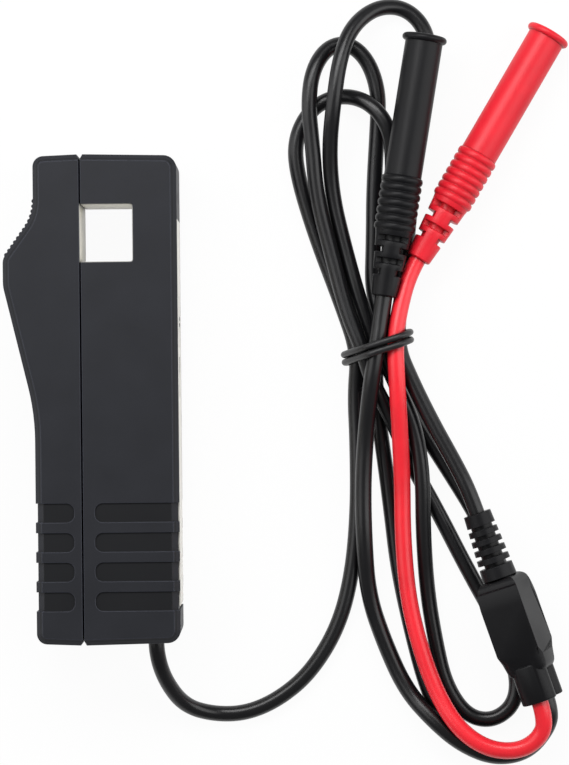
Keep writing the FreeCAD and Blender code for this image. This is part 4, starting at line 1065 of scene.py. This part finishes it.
print("block faces:", len(splitter.data.polygons))

# %% [markdown]
# Two oval outlets carry the leads. Each is a squeezed cylinder with a softened rim, sunk into the block and
# joined to it.

# %% Add the outlets
OUTLET_NARROW = 4.8
OUTLET_WIDE = 3.5
OUTLET_LENGTH = 7.3
OUTLET_SUNK = 3.0
OUTLET_SIDES = 48
OUTLET_ROUNDING = 0.4
OUTLET_ROUNDING_STEPS = 3
OUTLET_SHARP = 40

outlet_height = SPLITTER_START + SPLITTER_LENGTH + (OUTLET_LENGTH - OUTLET_SUNK) / 2
for side in (-1, 1):
    clear_selection()
    bpy.ops.mesh.primitive_cylinder_add(
        vertices=OUTLET_SIDES,
        radius=MM,
        depth=(OUTLET_LENGTH + OUTLET_SUNK) * MM,
        location=(0, side * OUTLET_SPACING / 2 * MM, outlet_height * MM),
    )
    outlet = bpy.context.object
    outlet.scale = (OUTLET_NARROW, OUTLET_WIDE, 1)
    bpy.ops.object.transform_apply(location=True, rotation=True, scale=True)
    soften(outlet, OUTLET_ROUNDING, OUTLET_ROUNDING_STEPS, OUTLET_SHARP)
    join = splitter.modifiers.new("outlet", "BOOLEAN")
    join.operation = "UNION"
    join.object = outlet
    apply_modifier(splitter, join)
    bpy.data.objects.remove(outlet)
bpy.ops.object.shade_smooth_by_angle(angle=SMOOTH_ANGLE)
settle(splitter, (splitter_wide.cross(SPLITTER_WAY), splitter_wide, SPLITTER_WAY), SPLITTER_END)
splitter.data.materials.append(black_moulding)
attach(splitter, "body")
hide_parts("splitter_box")
print("splitter faces:", len(splitter.data.polygons))

# %% [markdown]
# ## Return spring
#
# The spring in the grip pushes the jaw shut. It is one ring of wire, swept along a helix by a Screw modifier,
# with its two ends closed.

# %% Wind the spring
SPRING_PLACE = Vector((-0.325, -3.5, 16.0))
SPRING_RUN = 53.0
SPRING_TURNS = 9
SPRING_RADIUS = 1.45
SPRING_WIRE = 0.6
SPRING_WIRE_SIDES = 12
SPRING_TURN_STEPS = 24
SPRING_SMOOTH_ANGLE = math.radians(50)

clear_selection()
bpy.ops.mesh.primitive_circle_add(
    vertices=SPRING_WIRE_SIDES,
    radius=SPRING_WIRE / 2 * MM,
    location=(SPRING_RADIUS * MM, 0, 0),
    rotation=(math.pi / 2, 0, 0),
)
spring = bpy.context.object
spring.name = "spring_coil"
bpy.ops.object.transform_apply(location=True, rotation=True, scale=True)
winding = spring.modifiers.new("winding", "SCREW")
winding.angle = 2 * math.pi
winding.iterations = SPRING_TURNS
winding.screw_offset = SPRING_RUN / SPRING_TURNS * MM
winding.steps = SPRING_TURN_STEPS
winding.render_steps = SPRING_TURN_STEPS
apply_modifier(spring, winding)
bpy.ops.object.mode_set(mode="EDIT")
bpy.ops.mesh.select_all(action="SELECT")
bpy.ops.mesh.fill_holes(sides=0)
bpy.ops.object.mode_set(mode="OBJECT")
face_outward(spring)
bpy.ops.object.shade_smooth_by_angle(angle=SPRING_SMOOTH_ANGLE)
settle(spring, (Vector((1, 0, 0)), Vector((0, 0, 1)), Vector((0, -1, 0))), SPRING_PLACE)
spring.data.materials.append(bright_steel)
print("spring faces:", len(spring.data.polygons))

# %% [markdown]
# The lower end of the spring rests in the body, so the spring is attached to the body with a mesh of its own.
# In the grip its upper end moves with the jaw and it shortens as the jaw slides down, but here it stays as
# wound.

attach(spring, "body")
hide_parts("return_spring")
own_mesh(spring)

# %% [markdown]
# ## Painted light on the window walls
#
# The walls of the jaw window look pale, as they catch light and reflect the white floor. A thin cream sheet
# on them paints that light and reflection. On the body it is a sleeve with three sides: a block loses its
# other faces, its corners are rounded, and Solidify gives the wall its thickness.

# %% Sleeve on the body
PAINTED_LIGHT_SHEET = 0.2
PAINTED_LIGHT_SHEET_LOW = 1.0
PAINTED_LIGHT_SHEET_HIGH = 31.0
WINDOW_LEFT = -2.375
WINDOW_RIGHT = 11.225
WINDOW_END = 35.8
WINDOW_TOP = 51.1
WINDOW_CORNER = 0.7
WINDOW_CORNER_STEPS = 5

window_middle = (WINDOW_END + WINDOW_TOP) / 2
window_length = WINDOW_TOP - WINDOW_END
painted_light_middle = (PAINTED_LIGHT_SHEET_LOW + PAINTED_LIGHT_SHEET_HIGH) / 2
painted_light_height = PAINTED_LIGHT_SHEET_HIGH - PAINTED_LIGHT_SHEET_LOW
painted_light_sleeve = block(
    "window_painted_light_sleeve",
    ((WINDOW_LEFT + WINDOW_RIGHT) / 2, window_middle, painted_light_middle),
    (WINDOW_RIGHT - WINDOW_LEFT, window_length, painted_light_height),
)
pick_faces(painted_light_sleeve, lambda face: abs(face.normal.z) > FACING or face.normal.x < -FACING)
bpy.ops.mesh.delete(type="ONLY_FACE")
bpy.ops.object.mode_set(mode="OBJECT")
corners = painted_light_sleeve.modifiers.new("corners", "BEVEL")
corners.width = WINDOW_CORNER * MM
corners.segments = WINDOW_CORNER_STEPS
apply_modifier(painted_light_sleeve, corners)
wall = painted_light_sleeve.modifiers.new("wall", "SOLIDIFY")
wall.thickness = PAINTED_LIGHT_SHEET * MM
wall.offset = -1
apply_modifier(painted_light_sleeve, wall)
bpy.ops.object.shade_smooth_by_angle(angle=SMOOTH_ANGLE)
print("sleeve faces:", len(painted_light_sleeve.data.polygons))

# %% [markdown]
# The fourth side belongs to the sliding jaw, so it is a plate of its own that rides with the jaw and carries
# the same painted light.

# %% Plate on the jaw
JAW_FACE = -2.825
PLATE_ROUNDING = 0.05
PLATE_ROUNDING_STEPS = 2
PLATE_SHARP = 40

jaw_painted_light_plate = block(
    "jaw_painted_light_plate",
    (JAW_FACE + PAINTED_LIGHT_SHEET / 2, window_middle, painted_light_middle),
    (PAINTED_LIGHT_SHEET, window_length, painted_light_height),
)
soften(jaw_painted_light_plate, PLATE_ROUNDING, PLATE_ROUNDING_STEPS, PLATE_SHARP)
# Both sheets take the cream finish as painted light.
for piece, body in ((painted_light_sleeve, "body"), (jaw_painted_light_plate, "jaw")):
    piece.data.materials.append(plate_cream)
    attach(piece, body)
print("liner pieces:", painted_light_sleeve.name, jaw_painted_light_plate.name)
